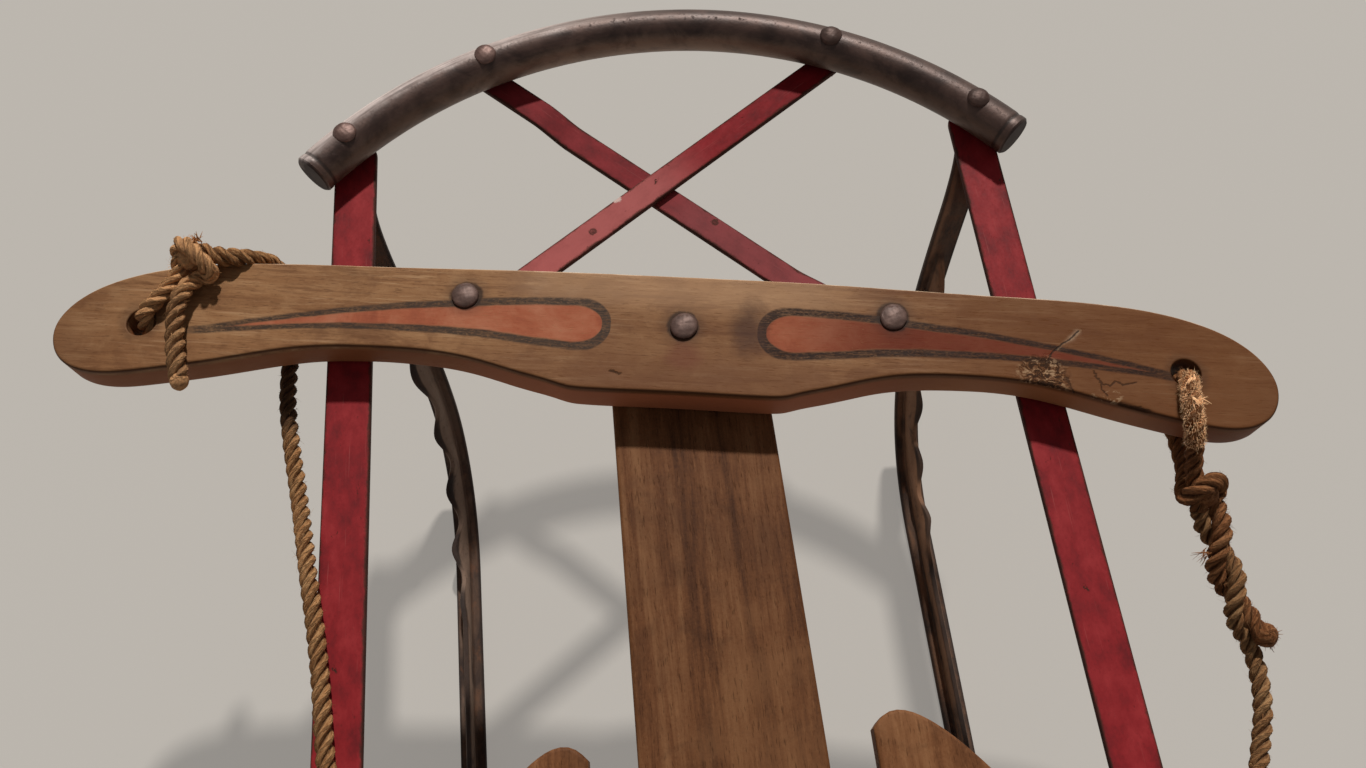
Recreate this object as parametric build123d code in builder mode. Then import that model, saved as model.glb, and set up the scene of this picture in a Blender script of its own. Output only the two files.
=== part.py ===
# Wooden coasting sled with a pivoted steering bar, crossed links, a round steel bow and flexible T-section runners.
# Millimetres, standing on its runners: X to the right, Y forward, Z up.
# The origin is on the floor, on the axis of the steering bar's pivot bolt.
# The steering is modelled as it was found, turned 9.4 degrees to the right.
import math
import os
from build123d import *

os.makedirs("parts", exist_ok=True)

# Heights
BAR_TOP = 192.0
BAR_THICK = 19.0
SLIDE = 0.3
BOARD_THICK = 10.0
BENCH_DEEP = 22.0
RAIL_THICK = 6.7
FLAT_THICK = 3.0
BAR_LOW = BAR_TOP - BAR_THICK
BOARD_TOP = BAR_LOW - SLIDE
BOARD_LOW = BOARD_TOP - BOARD_THICK
BENCH_LOW = BOARD_LOW - BENCH_DEEP
RAIL_TOP = BOARD_LOW + RAIL_THICK
STRAP_LOW = RAIL_TOP + SLIDE
STRAP_TOP = STRAP_LOW + FLAT_THICK

# Steering bar: each arm has its own length from the pivot
STEER = -9.4
ARM_LEFT = 260.0
ARM_RIGHT = 239.0
HUB_FRONT = 23.6
BOLT_LEFT = (-92.0, 9.5)
BOLT_RIGHT = (86.0, 9.0)
ROPE_HOLE = 6.0
HOLE_LEFT = (-224.6, -10.0)
HOLE_RIGHT = (203.0, -9.8)

# Pins with their running and pressed fits, heads and nuts
PIN = 3.0
PIVOT_PIN = 4.0
FIT = 0.08
OPEN_FIT = 1.5
PRESS = 0.02
HEAD = 6.2
HEAD_HIGH = 3.4
SPOT_DEEP = 1.3
NUT = 6.5
NUT_HIGH = 5.0
PIVOT_NUT = 8.0
PIVOT_NUT_HIGH = 6.0
STRAP_NUT = 6.0
STRAP_NUT_HIGH = 4.5
UPSET = 5.4
UPSET_HIGH = 2.4

# Bow
BOW_BAR = 9.5
BOW_ARC = 211.0
BOW_END = 48.9
BOW_OUTER = 42.8
BOW_INNER = 22.5
BOW_Z = BAR_LOW + BOW_BAR
BOW_YAW = -2.6
BOW_MID = (2.0, 107.5)

# Benches, and what stands at a fixed distance from their ends
BENCH_WIDE = 38.0
BENCH_HALF = 160.0
BENCH_CORNER = 8.0
BENCHES = {"front": -225.0, "middle": -515.0, "rear": -805.0}
RAIL_INSET = 14.0
RUNNER_INSET = 35.0

# Side straps and links: the lower link runs level, slopes down, and comes up again before its other end
STRAP_WIDE = 19.0
STRAP_BASE = (BENCH_HALF - RAIL_INSET, BENCHES["front"])
LINK_WIDE = 12.7
DIP = 3.6
DIP_START = 30.0
DIP_SLOPE = 22.0
LINK_TOP = BAR_LOW - SLIDE
LINK_LOW = LINK_TOP - FLAT_THICK

# Tow rope, its two knots and the gap at each end of its tube
ROPE = 3.6
KNOT_LONG = 17.0
KNOT_THICK = 8.0
KNOT_EDGE = 3.0
LEFT_KNOT = (-198.0, 50.5, 200.4)
RIGHT_KNOT = (197.3, -86.0, 176.0)

# Deck: the centre board narrows from its taper's start to its front end
DECK_REAR = -860.0
BOARD_WIDE = 70.0
BOARD_NOSE = 64.6
BOARD_FRONT = 19.0
BOARD_TAPER = -170.0
BOARD_CORNER = 12.0
DECK_EDGE = 1.5
SLAT_IN = 53.0
SLAT_OUT = 113.0
SLAT_TIP = -159.0
SLAT_NOSE = 52.0
SLAT_SNIP = 4.0
SLAT_BACK = 6.0
SLAT_TAIL = 20.0
RAIL_WIDE = 27.0
RAIL_FRONT = -196.0
RAIL_CORNER = 9.0

# Runners
RUNNER_X = BENCH_HALF - RUNNER_INSET
FLANGE_WIDE = 13.0
FLANGE_THICK = 3.0
WEB_THICK = 3.0
WEB_HIGH = 12.0
RUNNER_REAR = -868.0
SWEEP_ARC = 94.0
TIP_ARC = 24.0
TIP_PAST = 9.0
TIP_BACK = 8.0
RUNNER_DRIFT = 14.5
WEB_REACH = 0.72
TIP_TOP = STRAP_LOW - SLIDE

# Knees
KNEE_THICK = 3.0
KNEE_FOOT = 46.0
KNEE_LEG = 15.0
KNEE_WAIST = 27.0
KNEE_WAIST_Z = 66.0
KNEE_SEAT = 17.0
KNEE_ARCH = 14.0
KNEE_ARCH_Z = 72.0
KNEE_CROWN_Z = 96.0
KNEE_LUG = 36.0
KNEE_LOW = FLANGE_THICK + SLIDE
KNEE_X = RUNNER_X - WEB_THICK / 2 - KNEE_THICK


def turned(point, angle):
    c = math.cos(math.radians(angle))
    s = math.sin(math.radians(angle))
    return (point[0] * c - point[1] * s, point[0] * s + point[1] * c)


def bow_point(angle):
    local_x = BOW_ARC * math.sin(math.radians(angle))
    local_y = BOW_ARC * (math.cos(math.radians(angle)) - math.cos(math.radians(BOW_OUTER)))
    x, y = turned((local_x, local_y), BOW_YAW)
    return (BOW_MID[0] + x, BOW_MID[1] + y)


def save(part, label):
    part.label = label
    export_step(part, f"parts/{label}.step")


RIVETS = {
    "left_outer": bow_point(-BOW_OUTER),
    "left_inner": bow_point(-BOW_INNER),
    "right_inner": bow_point(BOW_INNER),
    "right_outer": bow_point(BOW_OUTER),
}
PIVOTS = {"left": turned(BOLT_LEFT, STEER), "right": turned(BOLT_RIGHT, STEER)}

# Steering bar outline: share of the arm's length, then the edge's distance as a share of the hub's front half
FRONT_EDGE = [(0.28, 0.979), (0.50, 0.919), (0.70, 0.864), (0.83, 0.695), (0.92, 0.381), (0.975, -0.042),
              (1.0, -0.593)]
REAR_EDGE = [(0.17, -1.237), (0.24, -1.042), (0.34, -0.780), (0.48, -0.669), (0.60, -0.746),
             (0.73, -1.059), (0.85, -1.331), (0.93, -1.398), (0.98, -1.169), (1.0, -0.593)]
edges = {}
for side, arm in (("left", -ARM_LEFT), ("right", ARM_RIGHT)):
    edges[f"front_{side}"] = [(0.0, HUB_FRONT)] + [(arm * share, HUB_FRONT * depth) for share, depth in FRONT_EDGE]
    edges[f"rear_{side}"] = [(arm * share, HUB_FRONT * depth) for share, depth in REAR_EDGE]

with BuildPart() as steering_bar:
    with BuildSketch(Plane.XY.offset(BAR_LOW)):
        with BuildLine():
            for side, away in (("left", -1), ("right", 1)):
                Spline(*edges[f"front_{side}"], tangents=[(away, 0), (0, -1)])
                Spline(*edges[f"rear_{side}"], tangents=[(away, 0), (0, 1)])
            Line(edges["rear_left"][0], edges["rear_right"][0])
        make_face()
    extrude(amount=BAR_THICK)
    with Locations(Location((0, 0, BAR_LOW))):
        Cylinder(PIVOT_PIN + FIT, BAR_THICK, align=(Align.CENTER, Align.CENTER, Align.MIN), mode=Mode.SUBTRACT)
    for x, y in (BOLT_LEFT, BOLT_RIGHT):
        with Locations(Location((x, y, BAR_LOW))):
            Cylinder(PIN + FIT, BAR_THICK, align=(Align.CENTER, Align.CENTER, Align.MIN), mode=Mode.SUBTRACT)
    for x, y in (HOLE_LEFT, HOLE_RIGHT):
        with Locations(Location((x, y, BAR_LOW))):
            Cylinder(ROPE_HOLE, BAR_THICK, align=(Align.CENTER, Align.CENTER, Align.MIN), mode=Mode.SUBTRACT)
bar_solid = steering_bar.part.rotate(Axis.Z, STEER)
save(bar_solid, "steering_bar")


def bolt(name, x, y, seat, bottom, radius, head, high, nut, nut_high):
    """Dome-headed bolt: its head sits on seat, its nut or tail hangs from bottom."""
    with BuildPart() as piece:
        with Locations((0, 0, seat)):
            Cylinder(head, high * 0.45, align=(Align.CENTER, Align.CENTER, Align.MIN))
        with Locations((0, 0, seat + high * 0.45)):
            Cone(head, head * 0.5, high * 0.55, align=(Align.CENTER, Align.CENTER, Align.MIN))
        with Locations((0, 0, seat)):
            Cylinder(radius, seat - bottom + nut_high, align=(Align.CENTER, Align.CENTER, Align.MAX))
        if nut > radius:
            with BuildSketch(Plane.XY.offset(bottom)):
                RegularPolygon(nut, 6)
            extrude(amount=-nut_high)
    save(piece.part.moved(Location((x, y, 0))), name)


bolt("pivot_bolt", 0, 0, BAR_TOP + SLIDE, BOARD_LOW, PIVOT_PIN, HEAD, HEAD_HIGH, PIVOT_NUT, PIVOT_NUT_HIGH)
for side in ("left", "right"):
    bolt(f"link_bolt_{side}", *PIVOTS[side], BAR_TOP, LINK_LOW - SLIDE, PIN, HEAD, HEAD_HIGH, NUT, NUT_HIGH)
for label, (x, y) in RIVETS.items():
    spot = BOW_Z + BOW_BAR - SPOT_DEEP
    if "inner" in label:
        bolt(f"bow_rivet_{label}", x, y, spot, LINK_LOW - SLIDE, PIN, HEAD, HEAD_HIGH, UPSET, UPSET_HIGH)
    else:
        bolt(f"bow_rivet_{label}", x, y, spot, STRAP_LOW, PIN, HEAD, HEAD_HIGH, 0.0, 0.0)

# Bow: a round bar bent to one arc, bored and spot-faced for its four rivets
with BuildPart() as bow:
    with BuildLine() as bow_line:
        ThreePointArc((-BOW_ARC * math.sin(math.radians(BOW_END)), BOW_ARC * math.cos(math.radians(BOW_END)), BOW_Z),
                      (0, BOW_ARC, BOW_Z),
                      (BOW_ARC * math.sin(math.radians(BOW_END)), BOW_ARC * math.cos(math.radians(BOW_END)), BOW_Z))
    with BuildSketch(Plane(origin=bow_line.line @ 0, z_dir=bow_line.line % 0)):
        Circle(BOW_BAR)
    sweep(path=bow_line.line)
    for angle in (-BOW_OUTER, -BOW_INNER, BOW_INNER, BOW_OUTER):
        x = BOW_ARC * math.sin(math.radians(angle))
        y = BOW_ARC * math.cos(math.radians(angle))
        with Locations(Location((x, y, BOW_Z))):
            Cylinder(PIN + PRESS, 3 * BOW_BAR, mode=Mode.SUBTRACT)
        with Locations(Location((x, y, BOW_Z + BOW_BAR - SPOT_DEEP))):
            Cylinder(HEAD + SLIDE, BOW_BAR, align=(Align.CENTER, Align.CENTER, Align.MIN), mode=Mode.SUBTRACT)
bow_solid = bow.part.moved(Location((0, -BOW_ARC * math.cos(math.radians(BOW_OUTER)), 0)))
bow_solid = bow_solid.rotate(Axis.Z, BOW_YAW).moved(Location((BOW_MID[0], BOW_MID[1], 0)))
save(bow_solid, "bow")

# Side straps: flat bars from the front bench to the bow's ends
for side, sign in (("left", -1), ("right", 1)):
    base = (sign * STRAP_BASE[0], STRAP_BASE[1])
    tip = RIVETS[f"{side}_outer"]
    length = math.hypot(tip[0] - base[0], tip[1] - base[1])
    heading = math.degrees(math.atan2(tip[1] - base[1], tip[0] - base[0]))
    end_fit = FIT if side == "left" else OPEN_FIT
    with BuildPart() as strap:
        with BuildSketch(Plane.XY.offset(STRAP_LOW)):
            with Locations((length / 2, 0)):
                SlotCenterToCenter(length, STRAP_WIDE)
            with Locations((0, 0)):
                Circle(PIN + FIT, mode=Mode.SUBTRACT)
            with Locations((length, 0)):
                Circle(PIN + end_fit, mode=Mode.SUBTRACT)
        extrude(amount=FLAT_THICK)
    strap_solid = strap.part.rotate(Axis.Z, heading).moved(Location((base[0], base[1], 0)))
    save(strap_solid, f"strap_{side}")
    bolt(f"strap_bolt_{side}", *base, STRAP_TOP + SLIDE, BENCH_LOW, PIN, HEAD, HEAD_HIGH, STRAP_NUT, STRAP_NUT_HIGH)

# Crossed links: flat bars from the steering bar's bolts to the bow's inner rivets, the lower one dips at the crossing
for label, start, end, dip in (("link_over", PIVOTS["left"], RIVETS["right_inner"], 0.0),
                               ("link_under", PIVOTS["right"], RIVETS["left_inner"], DIP)):
    length = math.hypot(end[0] - start[0], end[1] - start[1])
    heading = math.degrees(math.atan2(end[1] - start[1], end[0] - start[0]))
    level = DIP_START
    sunk = DIP_START + DIP_SLOPE
    past = LINK_WIDE / 2
    floor = LINK_LOW - DIP
    with BuildPart() as link:
        with BuildSketch(Plane.XZ.offset(-LINK_WIDE / 2)):
            with BuildLine():
                Polyline((-past, LINK_TOP), (level, LINK_TOP), (sunk, LINK_TOP - dip),
                         (length - sunk, LINK_TOP - dip), (length - level, LINK_TOP), (length + past, LINK_TOP),
                         (length + past, LINK_LOW), (length - level, LINK_LOW), (length - sunk, LINK_LOW - dip),
                         (sunk, LINK_LOW - dip), (level, LINK_LOW), (-past, LINK_LOW), close=True)
            make_face()
        extrude(amount=LINK_WIDE)
        with BuildSketch(Plane.XY.offset(floor)):
            with Locations((length / 2, 0)):
                SlotCenterToCenter(length, LINK_WIDE)
        extrude(amount=LINK_TOP - floor, mode=Mode.INTERSECT)
        with BuildSketch(Plane.XY.offset(floor)):
            Circle(PIN + FIT)
            with Locations((length, 0)):
                Circle(PIN + OPEN_FIT)
        extrude(amount=LINK_TOP - floor, mode=Mode.SUBTRACT)
    link_solid = link.part.rotate(Axis.Z, heading).moved(Location((start[0], start[1], 0)))
    save(link_solid, label)

# Centre board: parallel from the rear, then narrowing under the steering bar
with BuildPart() as centre_board:
    with BuildSketch(Plane.XY.offset(BOARD_LOW)):
        with BuildLine():
            Polyline((-BOARD_WIDE / 2, DECK_REAR), (BOARD_WIDE / 2, DECK_REAR), (BOARD_WIDE / 2, BOARD_TAPER),
                     (BOARD_NOSE / 2, BOARD_FRONT), (-BOARD_NOSE / 2, BOARD_FRONT), (-BOARD_WIDE / 2, BOARD_TAPER),
                     close=True)
        board_face = make_face()
        corners = board_face.vertices().sort_by(Axis.Y)
        fillet(corners[:2] + corners[-2:], BOARD_CORNER)
    extrude(amount=BOARD_THICK)
    fillet(centre_board.faces().sort_by(Axis.Z)[-1].edges(), DECK_EDGE)
    with Locations(Location((0, 0, BOARD_LOW))):
        Cylinder(PIVOT_PIN + FIT, BOARD_THICK, align=(Align.CENTER, Align.CENTER, Align.MIN), mode=Mode.SUBTRACT)
save(centre_board.part, "centre_board")

# Side slats, each with a curved tip: points as shares of the slat's width and of the curve's length
slat_wide = SLAT_OUT - SLAT_IN
slat_rear = DECK_REAR + SLAT_BACK
for side, sign in (("left", -1), ("right", 1)):
    inner = sign * SLAT_IN
    outer = sign * SLAT_OUT
    snip = sign * (SLAT_IN + SLAT_SNIP)
    nose_mid = (sign * (SLAT_IN + 0.583 * slat_wide), SLAT_TIP - 0.31 * SLAT_NOSE)
    tail_mid = (sign * (SLAT_OUT - 0.133 * slat_wide), slat_rear + 0.3 * SLAT_TAIL)
    tail_end = sign * (SLAT_OUT - 0.383 * slat_wide)
    with BuildPart() as slat:
        with BuildSketch(Plane.XY.offset(BOARD_LOW)):
            with BuildLine():
                Line((inner, slat_rear), (inner, SLAT_TIP - SLAT_SNIP))
                Line((inner, SLAT_TIP - SLAT_SNIP), (snip, SLAT_TIP))
                ThreePointArc((snip, SLAT_TIP), nose_mid, (outer, SLAT_TIP - SLAT_NOSE))
                Line((outer, SLAT_TIP - SLAT_NOSE), (outer, slat_rear + SLAT_TAIL))
                ThreePointArc((outer, slat_rear + SLAT_TAIL), tail_mid, (tail_end, slat_rear))
                Line((tail_end, slat_rear), (inner, slat_rear))
            make_face()
        extrude(amount=BOARD_THICK)
        fillet(slat.faces().sort_by(Axis.Z)[-1].edges(), DECK_EDGE)
    save(slat.part, f"slat_{side}")

# Cross benches with rounded ends
for place, y in BENCHES.items():
    with BuildPart() as bench:
        with BuildSketch(Plane.XY.offset(BENCH_LOW)):
            with Locations((0, y)):
                RectangleRounded(2 * BENCH_HALF, BENCH_WIDE, BENCH_CORNER)
                if place == "front":
                    with Locations((-STRAP_BASE[0], 0), (STRAP_BASE[0], 0)):
                        Circle(PIN + PRESS, mode=Mode.SUBTRACT)
        extrude(amount=BENCH_DEEP)
    save(bench.part, f"bench_{place}")

# Side rails on the benches' ends
for side, sign in (("left", -1), ("right", 1)):
    with BuildPart() as rail:
        with BuildSketch(Plane.XY.offset(BOARD_LOW)):
            with Locations((sign * STRAP_BASE[0], (RAIL_FRONT + DECK_REAR) / 2)):
                RectangleRounded(RAIL_WIDE, RAIL_FRONT - DECK_REAR, RAIL_CORNER)
        extrude(amount=RAIL_THICK)
        fillet(rail.faces().sort_by(Axis.Z)[-1].edges(), DECK_EDGE)
        with Locations(Location((sign * STRAP_BASE[0], STRAP_BASE[1], BOARD_LOW))):
            Cylinder(PIN + PRESS, RAIL_THICK, align=(Align.CENTER, Align.CENTER, Align.MIN), mode=Mode.SUBTRACT)
    save(rail.part, f"rail_{side}")

# Knees: arched steel plates on the runners' webs, with a lug bent in under the bench
toe = KNEE_LOW + WEB_HIGH
leg = KNEE_FOOT - KNEE_LEG
for place, y in BENCHES.items():
    for side, sign in (("left", -1), ("right", 1)):
        with BuildPart() as knee:
            with BuildSketch(Plane.YZ.offset(KNEE_X if sign > 0 else -KNEE_X - KNEE_THICK)):
                with BuildLine():
                    Line((y - KNEE_FOOT, KNEE_LOW), (y - KNEE_FOOT, toe))
                    Spline((y - KNEE_FOOT, toe), (y - KNEE_WAIST, KNEE_WAIST_Z), (y - KNEE_SEAT, BENCH_LOW),
                           tangents=[(0, 1), (0, 1)])
                    Line((y - KNEE_SEAT, BENCH_LOW), (y + KNEE_SEAT, BENCH_LOW))
                    Spline((y + KNEE_SEAT, BENCH_LOW), (y + KNEE_WAIST, KNEE_WAIST_Z), (y + KNEE_FOOT, toe),
                           tangents=[(0, -1), (0, -1)])
                    Line((y + KNEE_FOOT, toe), (y + KNEE_FOOT, KNEE_LOW))
                    Line((y + KNEE_FOOT, KNEE_LOW), (y + leg, KNEE_LOW))
                    Line((y + leg, KNEE_LOW), (y + leg, toe))
                    Spline((y + leg, toe), (y + KNEE_ARCH, KNEE_ARCH_Z), (y, KNEE_CROWN_Z),
                           (y - KNEE_ARCH, KNEE_ARCH_Z), (y - leg, toe), tangents=[(0, 1), (0, -1)])
                    Line((y - leg, toe), (y - leg, KNEE_LOW))
                    Line((y - leg, KNEE_LOW), (y - KNEE_FOOT, KNEE_LOW))
                make_face()
            extrude(amount=KNEE_THICK)
            with Locations(Location((sign * (KNEE_X + KNEE_THICK), y, BENCH_LOW))):
                Box(KNEE_LUG, 2 * KNEE_SEAT, KNEE_THICK,
                    align=(Align.MAX if sign > 0 else Align.MIN, Align.CENTER, Align.MAX))
        save(knee.part, f"knee_{place}_{side}")

# Runners: one T-section bar each, flat on the floor, then one arc up, a straight rise and a reverse arc to the bow's end.
# Lean is the rise's slope; the side profile is cut by a plan band that drifts outward to the bow's end.
# The band's points: share of the sweep's radius past the start of the rise, and share of the drift
BAND = [(0.0, 0.0), (0.723, 0.055), (1.053, 0.345), (1.33, 1.0)]
for side, sign, lean in (("left", -1, 66.0), ("right", 1, 72.0)):
    tip = RIVETS[f"{side}_outer"]
    seat_y = tip[1] - TIP_BACK
    seat_z = TIP_TOP - FLANGE_THICK
    sin_l = math.sin(math.radians(lean))
    cos_l = math.cos(math.radians(lean))
    rise = seat_z - (SWEEP_ARC + TIP_ARC) * (1 - cos_l)
    start = seat_y - (SWEEP_ARC + TIP_ARC) * sin_l - rise * cos_l / sin_l
    low_end = (start + SWEEP_ARC * sin_l, SWEEP_ARC * (1 - cos_l))
    high_start = (low_end[0] + rise * cos_l / sin_l, low_end[1] + rise)
    half = math.radians(lean / 2)
    low_mid = (start + SWEEP_ARC * math.sin(half), SWEEP_ARC * (1 - math.cos(half)))
    high_mid = (seat_y - TIP_ARC * math.sin(half), seat_z - TIP_ARC * (1 - math.cos(half)))
    plan = [(sign * (RUNNER_X + RUNNER_DRIFT * out), start + SWEEP_ARC * along) for along, out in BAND]
    plan.append((tip[0], seat_y + TIP_BACK / 2))
    members = []
    for thick, wide, reach in ((FLANGE_THICK, FLANGE_WIDE, 1.0), (FLANGE_THICK + WEB_HIGH, WEB_THICK, WEB_REACH)):
        with BuildPart() as member:
            with BuildSketch(Plane.YZ.offset(-BENCH_HALF)):
                with BuildLine():
                    Line((RUNNER_REAR, 0), (start, 0))
                    ThreePointArc((start, 0), low_mid, low_end)
                    if reach < 1:
                        Line(low_end, (low_end[0] + rise * reach * cos_l / sin_l, low_end[1] + rise * reach))
                    else:
                        Line(low_end, high_start)
                        ThreePointArc(high_start, high_mid, (seat_y, seat_z))
                        Line((seat_y, seat_z), (tip[1] + TIP_PAST, seat_z))
                    offset(amount=thick, side=Side.LEFT)
                make_face()
            extrude(amount=2 * BENCH_HALF)
            with BuildSketch():
                with BuildLine():
                    for edge in (-wide / 2, wide / 2):
                        Line((plan[0][0] + edge, RUNNER_REAR), (plan[0][0] + edge, start))
                        Spline(*[(x + edge, y) for x, y in plan], tangents=[(0, 1), (0, 1)])
                        Line((tip[0] + edge, plan[-1][1]), (tip[0] + edge, tip[1] + 2 * TIP_PAST))
                    Line((plan[0][0] - wide / 2, RUNNER_REAR), (plan[0][0] + wide / 2, RUNNER_REAR))
                    Line((tip[0] - wide / 2, tip[1] + 2 * TIP_PAST), (tip[0] + wide / 2, tip[1] + 2 * TIP_PAST))
                make_face()
            extrude(amount=BAR_TOP, mode=Mode.INTERSECT)
        members.append(member.part)
    with BuildPart() as runner:
        add(members)
    print(side, "runner starts to rise at", round(start, 1), "volume", round(runner.part.volume))
    save(runner.part, f"runner_{side}")


# Tow rope: tied round the bar at its left hole, laid back over the strap and the deck, and tied at its right hole
ROPE_ROUTE = [
    (-189.0, 56.0, 199.5), (-181.5, 58.2, 197.0), (-172.8, 58.8, 190.5), (-168.6, 58.4, 181.0),
    (-167.4, 53.5, 171.5), (-168.0, 43.0, 166.6), (-169.5, 28.0, 165.2), (-170.2, 12.8, 165.6),
    (-170.6, -4.0, 166.0), (-168.2, -24.0, 165.9), (-164.0, -46.0, 167.2), (-161.4, -58.5, 169.8),
    (-158.8, -70.5, 173.0), (-155.9, -84.5, 176.5), (-152.8, -103.0, 177.0), (-150.6, -120.0, 176.6),
    (-148.8, -140.0, 176.8), (-147.0, -160.0, 176.6), (-141.0, -182.0, 176.8), (-131.0, -206.0, 176.7),
    (-118.0, -236.0, 177.2), (-103.0, -268.0, 176.7), (-91.0, -312.0, 176.9), (-86.0, -362.0, 176.6),
    (-89.0, -412.0, 176.8), (-84.0, -462.0, 176.6), (-78.0, -508.0, 176.8), (-62.0, -546.0, 176.6),
    (-34.0, -569.0, 176.8), (2.0, -577.0, 176.6), (38.0, -568.0, 176.8), (67.0, -545.0, 176.6),
    (83.0, -510.0, 176.8), (88.0, -464.0, 176.6), (84.0, -416.0, 176.8), (89.0, -368.0, 176.6),
    (97.0, -322.0, 176.9), (111.0, -286.0, 176.7), (131.0, -259.0, 176.2), (153.0, -240.5, 174.4),
    (166.0, -230.5, 173.0), (179.0, -219.5, 167.8), (190.0, -205.5, 161.8), (198.5, -188.5, 157.0),
    (204.0, -171.0, 156.0), (206.3, -154.5, 158.0), (203.6, -138.0, 160.8), (200.8, -121.5, 165.0),
    (200.4, -108.5, 169.0), (201.0, -96.6, 172.8),
]
LEFT_LOOP = [
    (-203.0, 56.5, 199.0), (-206.5, 59.6, 190.0), (-210.5, 58.6, 177.0), (-215.5, 50.5, 168.2),
    (-220.0, 37.0, 167.4), (-223.0, 27.4, 173.0), (-223.2, 26.8, 186.0), (-221.5, 29.2, 195.2),
    (-212.5, 38.0, 197.4), (-203.0, 46.0, 200.0),
]
LEFT_STUB = [(-200.0, 45.0, 199.0), (-204.2, 31.5, 196.6), (-205.9, 19.0, 196.0), (-204.6, 7.0, 196.2), (-204.2, -4.6, 193.4)]
RIGHT_LOOP = [
    (196.0, -82.0, 180.0), (195.2, -74.2, 188.5), (193.4, -67.0, 196.0), (194.4, -56.0, 196.6),
    (197.9, -45.0, 195.0), (198.7, -42.8, 184.0), (198.6, -44.6, 172.5), (197.4, -54.5, 167.6),
    (196.2, -68.0, 167.6), (196.8, -80.0, 172.0),
]
RIGHT_TAIL = [
    (193.3, -92.0, 174.0), (192.4, -107.0, 169.6), (192.6, -121.0, 167.4), (197.6, -131.5, 169.8),
    (206.0, -138.5, 169.6), (215.0, -145.0, 165.0),
]


def rope_path(points):
    """Radius of each corner: 0.45 of its shorter run, over the tangent of half its turn."""
    radii = []
    for before, corner, after in zip(points, points[1:], points[2:]):
        run_in = Vector(*corner) - Vector(*before)
        run_out = Vector(*after) - Vector(*corner)
        half_turn = math.radians(run_in.get_angle(run_out)) / 2
        radii.append(0.45 * min(run_in.length, run_out.length) / math.tan(half_turn))
    return radii


def rope_tube(points):
    radii = rope_path(points)
    print("rope radii", [round(r, 1) for r in radii])
    with BuildPart() as tube:
        with BuildLine():
            route = FilletPolyline(*points, radius=radii)
        with BuildSketch(Plane(origin=route @ 0, z_dir=route % 0)):
            Circle(ROPE)
        sweep(path=route)
    length = route.length
    print("rope length", round(length, 1), "volume share", round(tube.part.volume / (math.pi * ROPE ** 2 * length), 4))
    return tube.part


save(rope_tube(ROPE_ROUTE), "tow_rope")
for side, centre, strands in (("left", LEFT_KNOT, (LEFT_LOOP, LEFT_STUB)), ("right", RIGHT_KNOT, (RIGHT_LOOP, RIGHT_TAIL))):
    tubes = [rope_tube(points) for points in strands]
    with BuildPart() as knot:
        with BuildSketch(Plane(origin=centre, z_dir=(0, 1, 0))):
            Circle(KNOT_THICK)
        extrude(amount=KNOT_LONG / 2, both=True)
        chamfer(knot.edges().filter_by(GeomType.CIRCLE), KNOT_EDGE)
        add(tubes)
    save(knot.part, f"rope_knot_{side}")
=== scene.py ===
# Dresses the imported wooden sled: varnished bar with painted teardrops, red steel flats, round bow, rusted T runners
# and laid rope. The CAD is the frame: metres here, and sizes that repeat the part's own are written in millimetres.
import math

import bmesh
import bpy
import numpy as np
from mathutils import Matrix, Vector


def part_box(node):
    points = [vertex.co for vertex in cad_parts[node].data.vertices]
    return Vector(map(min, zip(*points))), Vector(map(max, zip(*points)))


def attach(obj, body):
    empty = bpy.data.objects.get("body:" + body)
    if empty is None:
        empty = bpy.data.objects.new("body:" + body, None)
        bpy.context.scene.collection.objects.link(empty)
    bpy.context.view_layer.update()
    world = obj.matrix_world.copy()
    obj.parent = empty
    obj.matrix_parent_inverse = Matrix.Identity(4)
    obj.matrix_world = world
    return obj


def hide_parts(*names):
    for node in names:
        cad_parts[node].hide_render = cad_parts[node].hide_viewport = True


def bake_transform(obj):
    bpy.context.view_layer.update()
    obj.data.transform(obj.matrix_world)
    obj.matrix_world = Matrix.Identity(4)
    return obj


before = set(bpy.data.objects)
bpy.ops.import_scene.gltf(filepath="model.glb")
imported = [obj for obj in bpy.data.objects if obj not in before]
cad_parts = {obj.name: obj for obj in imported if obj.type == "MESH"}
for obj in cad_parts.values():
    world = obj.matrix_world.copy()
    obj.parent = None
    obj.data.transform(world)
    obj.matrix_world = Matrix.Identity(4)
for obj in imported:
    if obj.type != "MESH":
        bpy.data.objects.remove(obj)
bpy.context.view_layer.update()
MM = 0.001

# Places read from the frame, in millimetres


def low(node):
    return np.array(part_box(node)[0]) / MM


def high(node):
    return np.array(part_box(node)[1]) / MM


def middle(node):
    return (low(node) + high(node)) / 2


# Camera and light, as in the photograph
CAMERA_AT = (-0.0191, -0.2030, 0.5968)
CAMERA_LOOK = (0.036, 0.401, -0.915)
CAMERA_UP = (0.100, 0.910, 0.403)
CAMERA_LENS = 28.99
SUN_FROM = (0.16, 0.74, 0.80)
SUN_STRENGTH = 3.0
SUN_SOFT = 3.0
SUN_COLOUR = (1.0, 0.965, 0.91)
SKY_STRENGTH = 0.17
SKY_COLOUR = (1.0, 0.985, 0.96)
SKY_IN_STEEL = 0.30
STEEL_SKY_COLOUR = (1.0, 0.97, 0.94)
FLOOR_GLOW = 0.5
FLOOR_COLOUR = (0.56, 0.53, 0.49)
BACKDROP = (0.510, 0.482, 0.446)

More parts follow.
